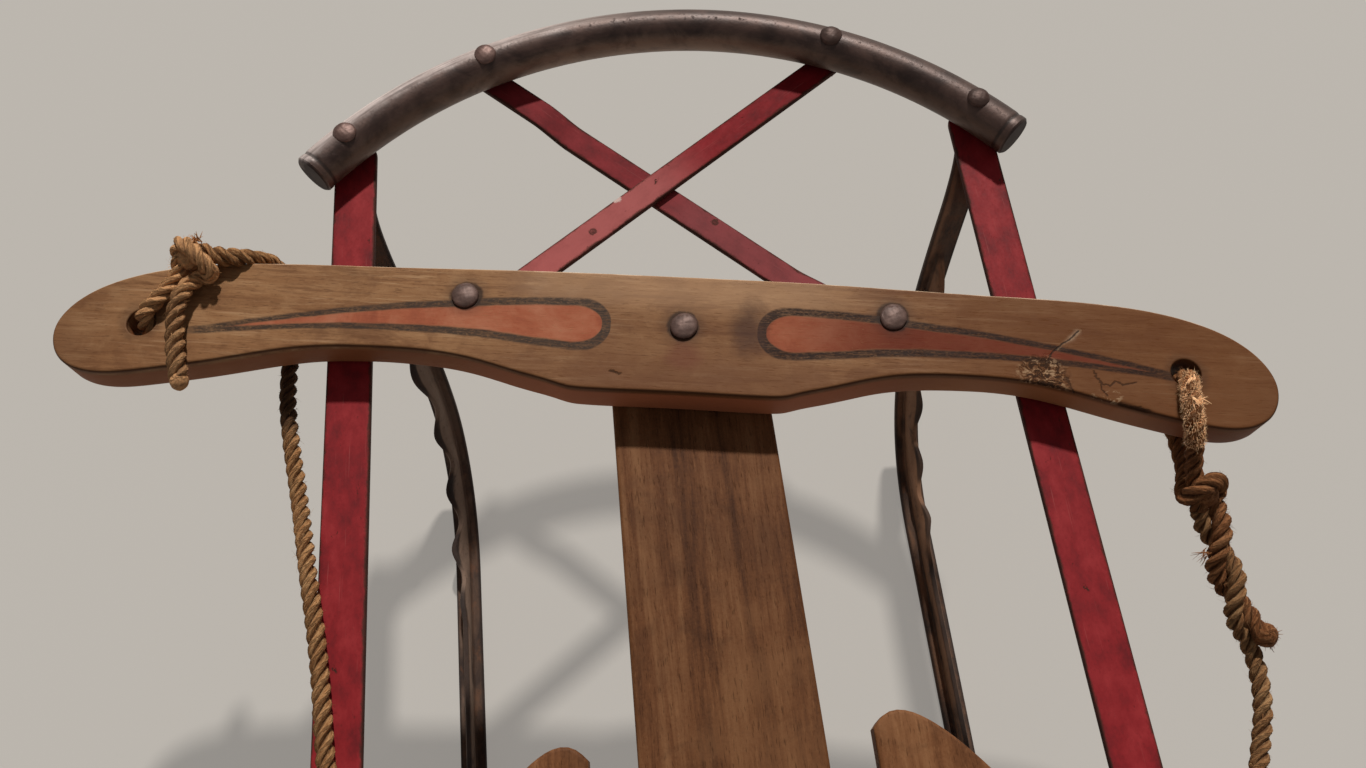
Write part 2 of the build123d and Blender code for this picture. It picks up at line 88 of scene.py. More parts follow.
# Steering bar, as in the part's source: share of the arm, then the edge's distance as a share of the hub's front half,
# with the rear edge's corners beside the hub drawn tighter
STEER = math.radians(-9.4)
ARM_LEFT = 260.0
ARM_RIGHT = 239.0
HUB_FRONT = 23.6
HUB_REAR = -1.245
FRONT_EDGE = [(0.28, 0.979), (0.50, 0.919), (0.70, 0.864), (0.83, 0.695), (0.92, 0.381), (0.975, -0.042), (1.0, -0.593)]
REAR_EDGE = [(0.09, -1.252), (0.155, -1.250), (0.178, -1.228), (0.200, -1.162), (0.25, -1.026), (0.34, -0.780),
             (0.48, -0.669), (0.60, -0.746), (0.73, -1.059), (0.85, -1.331), (0.93, -1.398), (0.98, -1.169),
             (1.0, -0.593)]
BAR_EDGE = 1.2
HUB_UNDER_EDGE, ARM_UNDER_EDGE = 1.4, 4.4
HUB_ENDS, ARM_STARTS = 70.0, 125.0
ROPE_HOLE = 6.0
HOLE_EDGE = 0.7
HOLE_LEFT = (-224.6, -10.0)
HOLE_RIGHT = (203.0, -9.8)
BOLTS = ((-92.0, 9.5), (0.0, 0.0), (86.0, 9.0))

# Bow, straps, links
BOW_BAR = 9.5
BOW_ARC = 211.0
BOW_END = 48.9
BOW_OUTER = 42.8
BOW_YAW = math.radians(-2.6)
BOW_MID = (2.0, 107.5)
BOW_EDGE = 1.1
GROOVE_AT, GROOVE_DEEP, GROOVE_HALF = 4.6, 0.45, 0.6
STRAP_WIDE = 19.0
LINK_WIDE = 12.7
LINK_DIP = 3.6
DIP_FROM, DIP_RUN = 30, 22
FLAT_THICK = 3.0
FLAT_EDGE = 0.7

# Runners
RUNNER_X = 125.0
RUNNER_DRIFT = 14.5
BAND = [(0.0, 0.0), (0.723, 0.055), (1.053, 0.345), (1.33, 1.0)]
FLANGE_WIDE = 13.0
FLANGE_THICK = 3.0
WEB_THICK = 3.0
WEB_HIGH = 12.0
WEB_REACH = 0.72
WEB_FADE = 26.0
WEB_BULGE = 2.7
FILLET = 0.7
SWEEP_ARC = 94.0
TIP_ARC = 24.0
TIP_PAST = 9.0
TIP_BACK = 8.0

# Deck
BOARD_NOSE = 64.6
BOARD_TAPER = -170.0
BENCHES = {"front": -225.0, "middle": -515.0, "rear": -805.0}
KNEE_FOOT = 46.0
KNEE_LEG = 15.0
BOARD_NAILS = (-100.0, -66.0, -20.0, 20.0, 66.0, 100.0)
RAIL_NAILS = (-146.0, 146.0)

# Rope, in metres, and the routes that are the part's own, in tenths of a millimetre
ROPE_THICK = 0.0072
ROPE_PITCH = 0.0172
ROPE_ROUTE = [
    (-2010, 548, 1990), (-1955, 530, 1983), (-1898, 512, 1974), (-1838, 514, 1952), (-1780, 536, 1896),
    (-1735, 560, 1810), (-1712, 530, 1715), (-1705, 430, 1666), (-1702, 280, 1652), (-1702, 128, 1656),
    (-1706, -40, 1660), (-1682, -240, 1659), (-1640, -460, 1672), (-1614, -585, 1698), (-1588, -705, 1730),
    (-1559, -845, 1765), (-1528, -1030, 1770), (-1506, -1200, 1766), (-1488, -1400, 1768), (-1470, -1600, 1766),
    (-1410, -1820, 1768), (-1310, -2060, 1767), (-1180, -2360, 1772), (-1030, -2680, 1767), (-910, -3120, 1769),
    (-860, -3620, 1766), (-890, -4120, 1768), (-840, -4620, 1766), (-780, -5080, 1768), (-620, -5460, 1766),
    (-340, -5690, 1768), (20, -5770, 1766), (380, -5680, 1768), (670, -5450, 1766), (830, -5100, 1768),
    (880, -4640, 1766), (840, -4160, 1768), (890, -3680, 1766), (970, -3220, 1769), (1110, -2860, 1767),
    (1310, -2590, 1762), (1530, -2405, 1744), (1660, -2305, 1730), (1790, -2195, 1678), (1900, -2055, 1618),
    (1985, -1885, 1570), (2066, -1710, 1560), (2090, -1560, 1563), (2078, -1446, 1576), (2032, -1390, 1610),
    (2012, -1340, 1654), (2030, -1286, 1688), (2053, -1224, 1695), (2058, -1161, 1680), (2040, -1101, 1666),
    (2004, -1046, 1673), (1968, -1002, 1705), (1955, -950, 1752),
]
LEFT_KNOT_ROUTE = [
    (-2012, 553, 1986), (-2055, 588, 1955), (-2085, 594, 1850), (-2105, 586, 1770), (-2155, 505, 1682),
    (-2200, 370, 1674), (-2230, 274, 1730), (-2232, 268, 1860), (-2215, 292, 1952), (-2143, 345, 1968),
    (-2095, 405, 1970), (-2062, 465, 1972), (-2064, 525, 2002), (-2042, 556, 2046), (-1996, 518, 2068),
    (-1950, 462, 2048), (-1922, 428, 1998), (-1952, 432, 1960), (-2005, 420, 1962), (-2045, 350, 1990),
    (-2066, 270, 1980), (-2068, 170, 1962), (-2056, 60, 1962), (-2043, -30, 1942),
]
RIGHT_KNOT_ROUTE = [
    (1957, -955, 1748), (1950, -880, 1782), (1946, -800, 1822), (1944, -730, 1888), (1936, -665, 1958),
    (1946, -560, 1966), (1978, -455, 1955), (1987, -428, 1850), (1988, -440, 1730), (1986, -530, 1676),
    (1990, -660, 1674), (1972, -780, 1698), (1930, -862, 1725), (1908, -905, 1765), (1928, -892, 1812),
    (1985, -868, 1832), (2044, -852, 1802), (2058, -866, 1745), (2040, -912, 1725), (2035, -1001, 1745),
    (2018, -1065, 1747), (1990, -1120, 1723), (1981, -1170, 1678), (2004, -1217, 1635), (2045, -1264, 1614),
    (2080, -1320, 1619), (2090, -1382, 1640), (2095, -1430, 1642), (2120, -1442, 1634),
]


# Meshes


def set_local(mesh, local):
    """Keeps each point's own coordinates in the attribute "local"."""
    attribute = mesh.attributes.new("local", "FLOAT_VECTOR", "POINT")
    attribute.data.foreach_set("vector", local.astype(np.float32).ravel())


def set_look(mesh, material, crease):
    """Material and smooth shading, sharp where faces meet at more than the crease, in degrees."""
    mesh.materials.clear()
    mesh.materials.append(material)
    mesh.shade_smooth()
    mesh.set_sharp_from_angle(angle=math.radians(crease))


def points_of(mesh, kind):
    """The mesh's points, one row each."""
    places = np.zeros(len(mesh.vertices) * 3, kind)
    mesh.vertices.foreach_get("co", places)
    return places.reshape(-1, 3)


def make_piece(name, blocks, material, body):
    """One mesh from blocks of (points, local): each a grid of rows by columns by 3 in millimetres, or many such grids,
    with its own coordinates per point. Rows and columns that meet are merged, so seams and poles close."""
    faces, start = [], 0
    for points, _ in blocks:
        index = start + np.arange(points[..., 0].size).reshape(points.shape[:-1])
        quads = [index[..., :-1, :-1], index[..., :-1, 1:], index[..., 1:, 1:], index[..., 1:, :-1]]
        faces.append(np.stack(quads, -1).reshape(-1, 4))
        start += index.size
    corners, locals_ = (np.concatenate([block[k].reshape(-1, 3) * MM for block in blocks]) for k in (0, 1))
    mesh = bpy.data.meshes.new(name)
    mesh.from_pydata(corners.tolist(), [], np.concatenate(faces).tolist())
    set_local(mesh, locals_)
    work = bmesh.new()
    work.from_mesh(mesh)
    bmesh.ops.remove_doubles(work, verts=work.verts, dist=2e-6)
    bmesh.ops.dissolve_degenerate(work, edges=work.edges, dist=1e-7)
    bmesh.ops.recalc_face_normals(work, faces=work.faces)
    work.to_mesh(mesh)
    work.free()
    piece = bpy.data.objects.new(name, mesh)
    bpy.context.scene.collection.objects.link(piece)
    set_look(mesh, material, 38)
    if body:
        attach(piece, body)
    return piece


def unit(vectors):
    return vectors / np.linalg.norm(vectors, axis=-1, keepdims=True)


def circle(sides):
    return np.linspace(0, 2 * math.pi, sides + 1)


def quarter(steps):
    return np.linspace(0, math.pi / 2, steps + 1)


def round_about(turn, first, second):
    """Directions at each turn, from the first towards the second."""
    return first * np.cos(turn)[..., None] + second * np.sin(turn)[..., None]


def arc_points(centre, radius, turn):
    return np.stack([centre[0] + radius * np.cos(turn), centre[1] + radius * np.sin(turn)], 1)


def smooth_through(points, per_span=24, closed=False):
    """A cubic spline through the points. The slopes make the curvature run on across each point: next step times the
    slope before, plus twice both steps times the slope, plus last step times the slope after, is three times the
    crossed rises."""
    p = np.asarray(points, float)
    if closed:
        p = np.vstack([p, p[:1]])
    step = np.linalg.norm(np.diff(p, axis=0), axis=1)
    rise = np.diff(p, axis=0) / step[:, None]
    one = np.eye(len(p) - 1 if closed else len(p))
    if closed:
        before, after = np.roll(step, 1), step
        rise_before, rise_after = np.roll(rise, 1, 0), rise
    else:
        before, after = np.append(step[:1], step), np.append(step, step[-1:])
        rise_before, rise_after = np.vstack([rise[:1], rise]), np.vstack([rise, rise[-1:]])
    matrix = (after[:, None] * np.roll(one, -1, 1) + 2 * (before + after)[:, None] * one
              + before[:, None] * np.roll(one, 1, 1))
    value = 3 * (after[:, None] * rise_before + before[:, None] * rise_after)
    if not closed:
        matrix[0], matrix[-1] = 2 * one[0] + one[1], one[-2] + 2 * one[-1]
        value[0], value[-1] = 3 * rise[0], 3 * rise[-1]
    slope = np.linalg.solve(matrix, value)
    if closed:
        slope = np.vstack([slope, slope[:1]])
    t = np.linspace(0, 1, per_span, endpoint=False)[None, :, None]
    a, b, long = p[:-1, None], p[1:, None], step[:, None, None]
    curve = (a * (1 + 2 * t) * (1 - t) ** 2 + slope[:-1, None] * long * t * (1 - t) ** 2
             + b * t ** 2 * (3 - 2 * t) + slope[1:, None] * long * t ** 2 * (t - 1))
    return np.vstack([curve.reshape(-1, p.shape[1]), p[-1]])


def on_spine(value, start, end, step):
    """Places along a spine, kept between its ends and on steps of their own, so that rings from both sides meet."""
    return np.clip(np.round(value / step) * step, start, end)


def even(points, step):
    """The same line with stations a step apart along its length."""
    reach = np.concatenate([[0], np.cumsum(np.linalg.norm(np.diff(points, axis=0), axis=1))])
    stations = np.linspace(0, reach[-1], max(int(round(reach[-1] / step)), 4) + 1)
    return np.stack([np.interp(stations, reach, points[:, k]) for k in range(points.shape[1])], 1), stations


def ripple(x, y, scale, seed=0.0):
    """A smooth uneven height from -1 to 1: a sum of crossed sine waves of falling length."""
    total = np.zeros(np.broadcast(x, y).shape)
    for k in range(4):
        turn = 1.3 * k + seed
        step = scale / 1.9 ** k
        along = np.sin((x * math.cos(turn) + y * math.sin(turn)) / step + 2.1 * k + seed)
        total = total + along * np.sin((y * math.cos(turn) - x * math.sin(turn)) / step * 1.17 + seed) / (k + 1.2)
    return total / 1.7


def turned_plan(x, y, heading, start=(0.0, 0.0)):
    """Plan coordinates turned by an angle and moved to a start."""
    c, s = math.cos(heading), math.sin(heading)
    return start[0] + x * c - y * s, start[1] + x * s + y * c


def near_line(x, y, line):
    """Distance from each point to a line of joined stretches."""
    best = np.full(x.shape, 1e9)
    for (ax, ay), (bx, by) in zip(line, line[1:]):
        long = (bx - ax) ** 2 + (by - ay) ** 2
        share = np.clip(((x - ax) * (bx - ax) + (y - ay) * (by - ay)) / long, 0, 1)
        best = np.minimum(best, np.hypot(x - ax - share * (bx - ax), y - ay - share * (by - ay)))
    return best


def slab(name, outline, spine, under, thick, edge, material, body, slot, rows=6, place=((0, 0), 0.0), lift=None,
         relief=None, under_edge=None):
    """A plank from its plan outline, a closed ring of points. Rings run from the spine out under the plank, round a
    quarter circle of radius edge, up the side, round again and back over the top to the spine. Lift raises it along
    its length, relief adds a height to its top, and under_edge gives each outline point its own radius below."""
    ring = np.vstack([outline, outline[:1]])
    ahead = np.roll(outline, -1, 0) - np.roll(outline, 1, 0)
    inward = np.stack([-ahead[:, 1], ahead[:, 0]], 1) / np.maximum(np.linalg.norm(ahead, axis=1), 1e-9)[:, None]
    inward = np.vstack([inward, inward[:1]])
    heart = np.vstack([spine, spine[:1]])
    arc = quarter(5)
    lower = np.full(len(outline), edge) if under_edge is None else under_edge
    lower = np.append(lower, lower[0])
    fractions = np.linspace(0, 1, rows + 1)[:-1]
    under_flats, flats = (heart[None] + (ring + inward * inset - heart)[None] * fractions[:, None, None]
                          for inset in (lower[:, None], edge))
    low_arc = ring[None] + inward[None] * (lower * (1 - np.sin(arc))[:, None])[..., None]
    high_arc = ring[None] + inward[None] * (edge * (1 - np.cos(arc)))[:, None, None]
    plan = np.concatenate([under_flats, low_arc, high_arc, flats[::-1]])
    above = np.concatenate([thick - edge * (1 - np.sin(arc)), np.full(rows, thick)])[:, None] + 0 * lower
    z = np.concatenate([np.zeros((rows, len(ring))), lower * (1 - np.cos(arc))[:, None], above])
    if relief is not None:
        z += relief(plan[..., 0], plan[..., 1]) * (z > thick - 0.7 * edge)
    z += under
    if lift is not None:
        z += lift(plan[..., 0])
    start, heading = place
    points = np.stack([*turned_plan(plan[..., 0], plan[..., 1], heading, start), z], -1)
    return make_piece(name, [(points, np.stack([plan[..., 0], plan[..., 1], z], -1))], material, body)


def stadium(length, wide):
    """Outline and spine of a flat bar with half-round ends, centred on its first hole, anticlockwise."""
    step = 1.5
    r = wide / 2
    turn = np.linspace(-math.pi / 2, math.pi / 2, 25)
    right = arc_points((length, 0), r, turn)
    ring = even(np.vstack([right, arc_points((0, 0), -r, turn), right[:1]]), step)[0][:-1]
    return ring, np.stack([on_spine(ring[:, 0], 0.5, length - 0.5, 2 * step), 0 * ring[:, 0]], 1)


def boxed(node, corner):
    """Outline and spine of a board with round corners in its solid's box, anticlockwise, the spine along its length."""
    step = 3.0
    (x0, y0), (x1, y1) = low(node)[:2], high(node)[:2]
    right, left, front, rear = x1 - corner, x0 + corner, y1 - corner, y0 + corner
    centres = ((right, rear), (right, front), (left, front), (left, rear))
    arcs = [arc_points(centre, corner, (k - 1) * math.pi / 2 + quarter(8)) for k, centre in enumerate(centres)]
    ring = even(np.vstack(arcs + [arcs[0][:1]]), step)[0][:-1]
    half = min(x1 - x0, y1 - y0) / 2
    if y1 - y0 > x1 - x0:
        spine = [0 * ring[:, 0] + (x0 + x1) / 2, on_spine(ring[:, 1], y0 + half, y1 - half, 2 * step)]
    else:
        spine = [on_spine(ring[:, 0], x0 + half, x1 - half, 2 * step), 0 * ring[:, 1] + (y0 + y1) / 2]
    return ring, np.stack(spine, 1)


def turned(name, profile, at, material, sides=40, hammered=0.0, seed=0.0):
    """A profile of (radius, height) turned about the vertical at a place; hammered makes its radius and top uneven."""
    profile = np.asarray(profile, float)
    around = circle(sides)
    radius = profile[:, :1] * (1 + hammered * ripple(np.cos(around), np.sin(around), 0.7, seed)[None])
    x = radius * np.cos(around)
    y = radius * np.sin(around)
    on_top = profile[:, 1:] > 0.6 * profile[:, 1].max()
    z = profile[:, 1:] + hammered * 4 * ripple(x + at[0], y, 3.0, seed) * on_top
    points = np.stack([at[0] + x, at[1] + y, at[2] + z], -1)
    return make_piece(name, [(points, np.stack([x, y, z + 0 * x], -1))], material, None)


def dome(radius, rise):
    """Profile of a domed head: an arc of a circle over a short upright rim, closed underneath."""
    cap = quarter(13)
    rim = 0.22 * rise
    crown = np.stack([radius * np.cos(cap), rim + (rise - rim) * np.sin(cap)], 1)
    return np.vstack([[(0, 0), (0.94 * radius, 0), (radius, 0.10 * rise)], crown])


def studs(name, places, along, radius, rise):
    """Small domed heads of nails or rivets at many places, all in one mesh: a quarter circle of a profile turned about
    the direction that the head faces, 14 steps round."""
    sunk = -0.4
    along = np.asarray(along, float)
    side = unit(np.cross(along, (0.31, 0.52, 0.79)))
    radii = np.concatenate([[0, radius], radius * np.cos(quarter(5))])
    heights = np.concatenate([[sunk, sunk], rise * np.sin(quarter(5))])
    head = radii[:, None, None] * round_about(circle(14), side, np.cross(along, side)) + heights[:, None, None] * along
    heads = np.asarray(places, float)[:, None, None] + head
    return make_piece(name, [(heads, heads)], rivet_steel, "sled")


def joined(name, pieces):
    """Several finished pieces of one body made one mesh."""
    work = bmesh.new()
    for piece in pieces:
        work.from_mesh(piece.data)
    work.to_mesh(pieces[0].data)
    work.free()
    for piece in pieces[1:]:
        bpy.data.objects.remove(piece)
    pieces[0].name = name
    pieces[0].data.name = name
    return pieces[0]


# Materials


def add_node(tree, kind, settings, inputs, output=0):
    """Any node: its type, its settings and stops, which are set first, and the values or links of its sockets."""
    node = tree.nodes.new(kind)
    stops = settings.pop("stops", None)
    for key, value in settings.items():
        setattr(node, key, value)
    if stops:
        ramp = node.color_ramp
        while len(ramp.elements) < len(stops):
            ramp.elements.new(0.5)
        for element, (position, colour) in zip(ramp.elements, stops):
            element.position = position
            element.color = (*colour, 1.0)
    for key, value in inputs.items():
        set_socket(tree, node.inputs[key], value)
    return Tone(tree, node.outputs[output])


def set_socket(tree, socket, value):
    """Links a tone to a socket, or sets a value on it; a colour gets its fourth number."""
    if isinstance(value, Tone):
        tree.links.new(value.socket, socket)
    else:
        socket.default_value = (*value, 1.0) if socket.type == "RGBA" else value


class Tone:
    """A socket with arithmetic on it: each operator adds one Math node to the same material."""

    def __init__(self, tree, socket):
        self.tree = tree
        self.socket = socket

    def maths(self, operation, *values, clamp=False):
        settings = {"operation": operation, "use_clamp": clamp}
        return add_node(self.tree, "ShaderNodeMath", settings, dict(enumerate(values)))

    def __abs__(self):
        return self.maths("ABSOLUTE", self)

    def least(self, other):
        return self.maths("MINIMUM", self, other)

    def most(self, other):
        return self.maths("MAXIMUM", self, other)

    def ramp(self, start, end, low=0.0, high=1.0):
        """Goes smoothly from low to high as the value goes from start to end."""
        inputs = {"Value": self, "From Min": start, "From Max": end, "To Min": low, "To Max": high}
        return add_node(self.tree, "ShaderNodeMapRange", {"interpolation_type": "SMOOTHSTEP"}, inputs)


OPERATORS = {"add": "ADD", "sub": "SUBTRACT", "mul": "MULTIPLY", "truediv": "DIVIDE", "pow": "POWER"}
for sign, operation in OPERATORS.items():
    setattr(Tone, f"__{sign}__", lambda self, other, kind=operation: self.maths(kind, self, other))
    setattr(Tone, f"__r{sign}__", lambda self, other, kind=operation: self.maths(kind, other, self))


class Finish:
    """A material in the making: its coordinates, its patterns and its colours."""

    def __init__(self, name, source="local"):
        self.material = bpy.data.materials.new(name)
        self.material.use_nodes = True
        self.tree = self.material.node_tree
        self.shader = self.tree.nodes["Principled BSDF"]
        if source == "local":
            self.place = self.node("Attribute", {"attribute_name": "local"}, {}, "Vector")
        else:
            self.place = self.node("TexCoord", {}, {}, "Object")
        self.axes = [self.node("SeparateXYZ", {}, {0: self.place}, k) for k in range(3)]

    def node(self, kind, settings, inputs, output=0):
        return add_node(self.tree, f"ShaderNode{kind}", settings, inputs, output)

    def stretched(self, scale):
        return self.node("Mapping", {}, {"Vector": self.place, "Scale": scale})

    def noise(self, scale, detail=4.0, rough=0.55, warp=0.0):
        inputs = {"Detail": detail, "Roughness": rough, "Distortion": warp}
        return self.node("TexNoise", {}, {"Vector": self.stretched(scale), "Scale": 1.0, **inputs})

    def cells(self, scale):
        return self.node("TexVoronoi", {}, {"Vector": self.stretched(scale), "Scale": 1.0})

    def shades(self, value, stops):
        return self.node("ValToRGB", {"stops": stops}, {"Fac": value})

    def mix(self, factor, first, second, blend="MIX"):
        return self.node("Mix", {"data_type": "RGBA", "blend_type": blend}, {0: factor, 6: first, 7: second}, 2)

    def over(self, colour, *layers):
        """Layers of (mask, colour), each laid over those before it."""
        for mask, coat in layers:
            colour = self.mix(mask, colour, coat)
        return colour

    def bump(self, height, distance, strength):
        return self.node("Bump", {}, {"Height": height, "Distance": distance, "Strength": strength})

    def spot(self, place, stretch=(1.0, 1.0, 1.0)):
        """Distance from a place, in metres; stretch multiplies the coordinates, and the place is given so too."""
        return self.node("VectorMath", {"operation": "DISTANCE"}, {0: self.stretched(stretch), 1: place}, 1)

    def near(self, line, sway=0.0):
        """Distance from a line of joined stretches in the plan, in millimetres: the least over the stretches, each
        measured to the nearest place on it, whose share of the stretch is kept between 0 and 1. Sway moves the plan's
        places first."""
        x, y = self.axes[0] / MM + sway, self.axes[1] / MM + sway * 0.7
        best = None
        for (ax, ay), (bx, by) in zip(line, line[1:]):
            long = (bx - ax) ** 2 + (by - ay) ** 2
            share = x.maths("MULTIPLY_ADD", y - ay, (by - ay) / long, (x - ax) * ((bx - ax) / long), clamp=True)
            off = ((x - ax - share * (bx - ax)) ** 2 + (y - ay - share * (by - ay)) ** 2) ** 0.5
            best = off if best is None else best.least(off)
        return best

    def done(self, gloss=0.5, **sockets):
        """Gloss is the same all over, so it is set on the shader's own socket."""
        names = {"colour": "Base Color", "rough": "Roughness", "metal": "Metallic", "normal": "Normal"}
        self.shader.inputs["Specular IOR Level"].default_value = gloss
        for key, value in sockets.items():
            set_socket(self.tree, self.shader.inputs[names[key]], value)
        return self.material


def tint(colour, by):
    """A colour times one number or times three."""
    return tuple(np.multiply(colour, by).tolist())


def wood(name, dark, mid, pale, along=0, ornament=None, calm=0.0):
    """Old varnished wood: long stretched noise for the fibres, wider bands for the rings, short dark flecks, dirt in
    the pores, and varnish that is worn pale in some places and dark with handling in others. Calm spreads the fibres'
    colours less."""
    f = Finish(name)

    def grain(k, stretch, **settings):
        scale = [k, k, k]
        scale[along] = k * stretch
        return f.noise(tuple(scale), **settings)

    fibres = grain(540.0, 0.07, detail=8.0, rough=0.65, warp=0.3)
    bands = grain(85.0, 0.06, detail=4.0, rough=0.5, warp=1.1)
    fleck = grain(1500.0, 0.12, detail=3.0, rough=0.55).ramp(0.57, 0.70)
    pale_flecks = grain(1100.0, 0.16, detail=3.0, rough=0.6)
    patches = f.noise((17.0, 21.0, 17.0), detail=5.0, rough=0.62, warp=0.8)
    soil = f.noise((46.0, 52.0, 46.0), detail=6.0, rough=0.68, warp=0.5)
    grit = f.noise((800.0, 800.0, 800.0), detail=5.0, rough=0.7)
    spread = 0.13 * (1 + calm)
    fibre_shade = fibres * 0.38 + bands * 0.42 + grit * 0.20
    colour = f.over(
        f.shades(fibre_shade, [(0.5 - spread, dark), (0.50, mid), (0.5 + spread, pale)]),
        (patches.ramp(0.48, 0.68, 0.0, 0.40), pale),
        (patches.ramp(0.50, 0.30, 0.0, 0.45), dark),
        (pale_flecks.ramp(0.58, 0.72, 0.0, 0.30), tint(pale, 1.25)),
        (fleck * (0.50 - 0.22 * calm), tint(dark, 0.42)),
        (soil.ramp(0.52, 0.72, 0.0, 0.35), tint(dark, 0.62)),
        (grit.ramp(0.56, 0.70, 0.0, 0.28), tint(dark, 0.55)))
    rough = 0.50 + 0.20 * patches + 0.12 * fleck
    height = fibres * 0.5 + bands * 0.3 - fleck * 0.35
    if ornament:
        colour, rough, height = ornament(f, colour, rough, height, patches, soil)
    return f.done(gloss=0.13, colour=colour, rough=rough, normal=f.bump(height + grit * 0.3, 0.0002, 0.6))


# Painted teardrops: distance from the pivot, front edge and rear edge of the outline, in millimetres of the bar
TEARDROP = [(30.0, 10.4, -12.4), (46.0, 11.0, -13.0), (62.0, 10.5, -11.6), (79.0, 9.3, -9.6), (97.0, 7.3, -8.5),
            (120.0, 4.8, -8.1), (140.0, 1.6, -8.4), (160.0, -2.0, -9.6), (180.0, -6.0, -11.5), (197.0, -9.8, -13.6),
            (212.0, -12.0, -14.8)]
TEARDROP_BAND = 3.7
TEARDROP_CAP = 11.0

# Damage, in millimetres of the bar: the crack on the right arm, then fine cracks, bruises and a nick with their half
# width, and the torn patch. BAR_TOP is the height at which the top's stains are measured, in metres.
CRACK = [(161.0, 6.5), (157.5, 2.6), (154.0, 0.4), (150.5, -3.0), (149.0, -5.5), (146.0, -10.0)]
NICK = [(-28.5, -21.5), (-25.5, -23.0)]
FINE_CRACKS = [
    ([(154.5, -14.6), (157.4, -20.5), (159.2, -24.2)], 0.70),
    ([(165.8, -11.5), (166.6, -14.2), (168.6, -16.2), (168.4, -19.0), (170.4, -21.5)], 0.75),
    ([(168.6, -16.2), (171.5, -17.6), (174.0, -15.2), (177.0, -16.6), (182.5, -15.0)], 0.60),
    ([(159.2, -24.2), (166.0, -25.4)], 0.60), (NICK, 0.9), ([(176.0, -25.0), (186.0, -28.2)], 1.5)]
TORN = (146.5, -14.5)
BAR_TOP = 0.192


def outline_value(f, away, column):
    """The teardrop's front or rear edge at a distance from the pivot, from a grey ramp."""
    first, last = TEARDROP[0][0], TEARDROP[-1][0]
    stops = [((row[0] - first) / (last - first), ((row[column] + 20) / 40,) * 3) for row in TEARDROP]
    share = (away / MM - first) / (last - first)
    return f.node("SeparateColor", {}, {0: f.shades(share, stops)}, 0) * 40 - 20


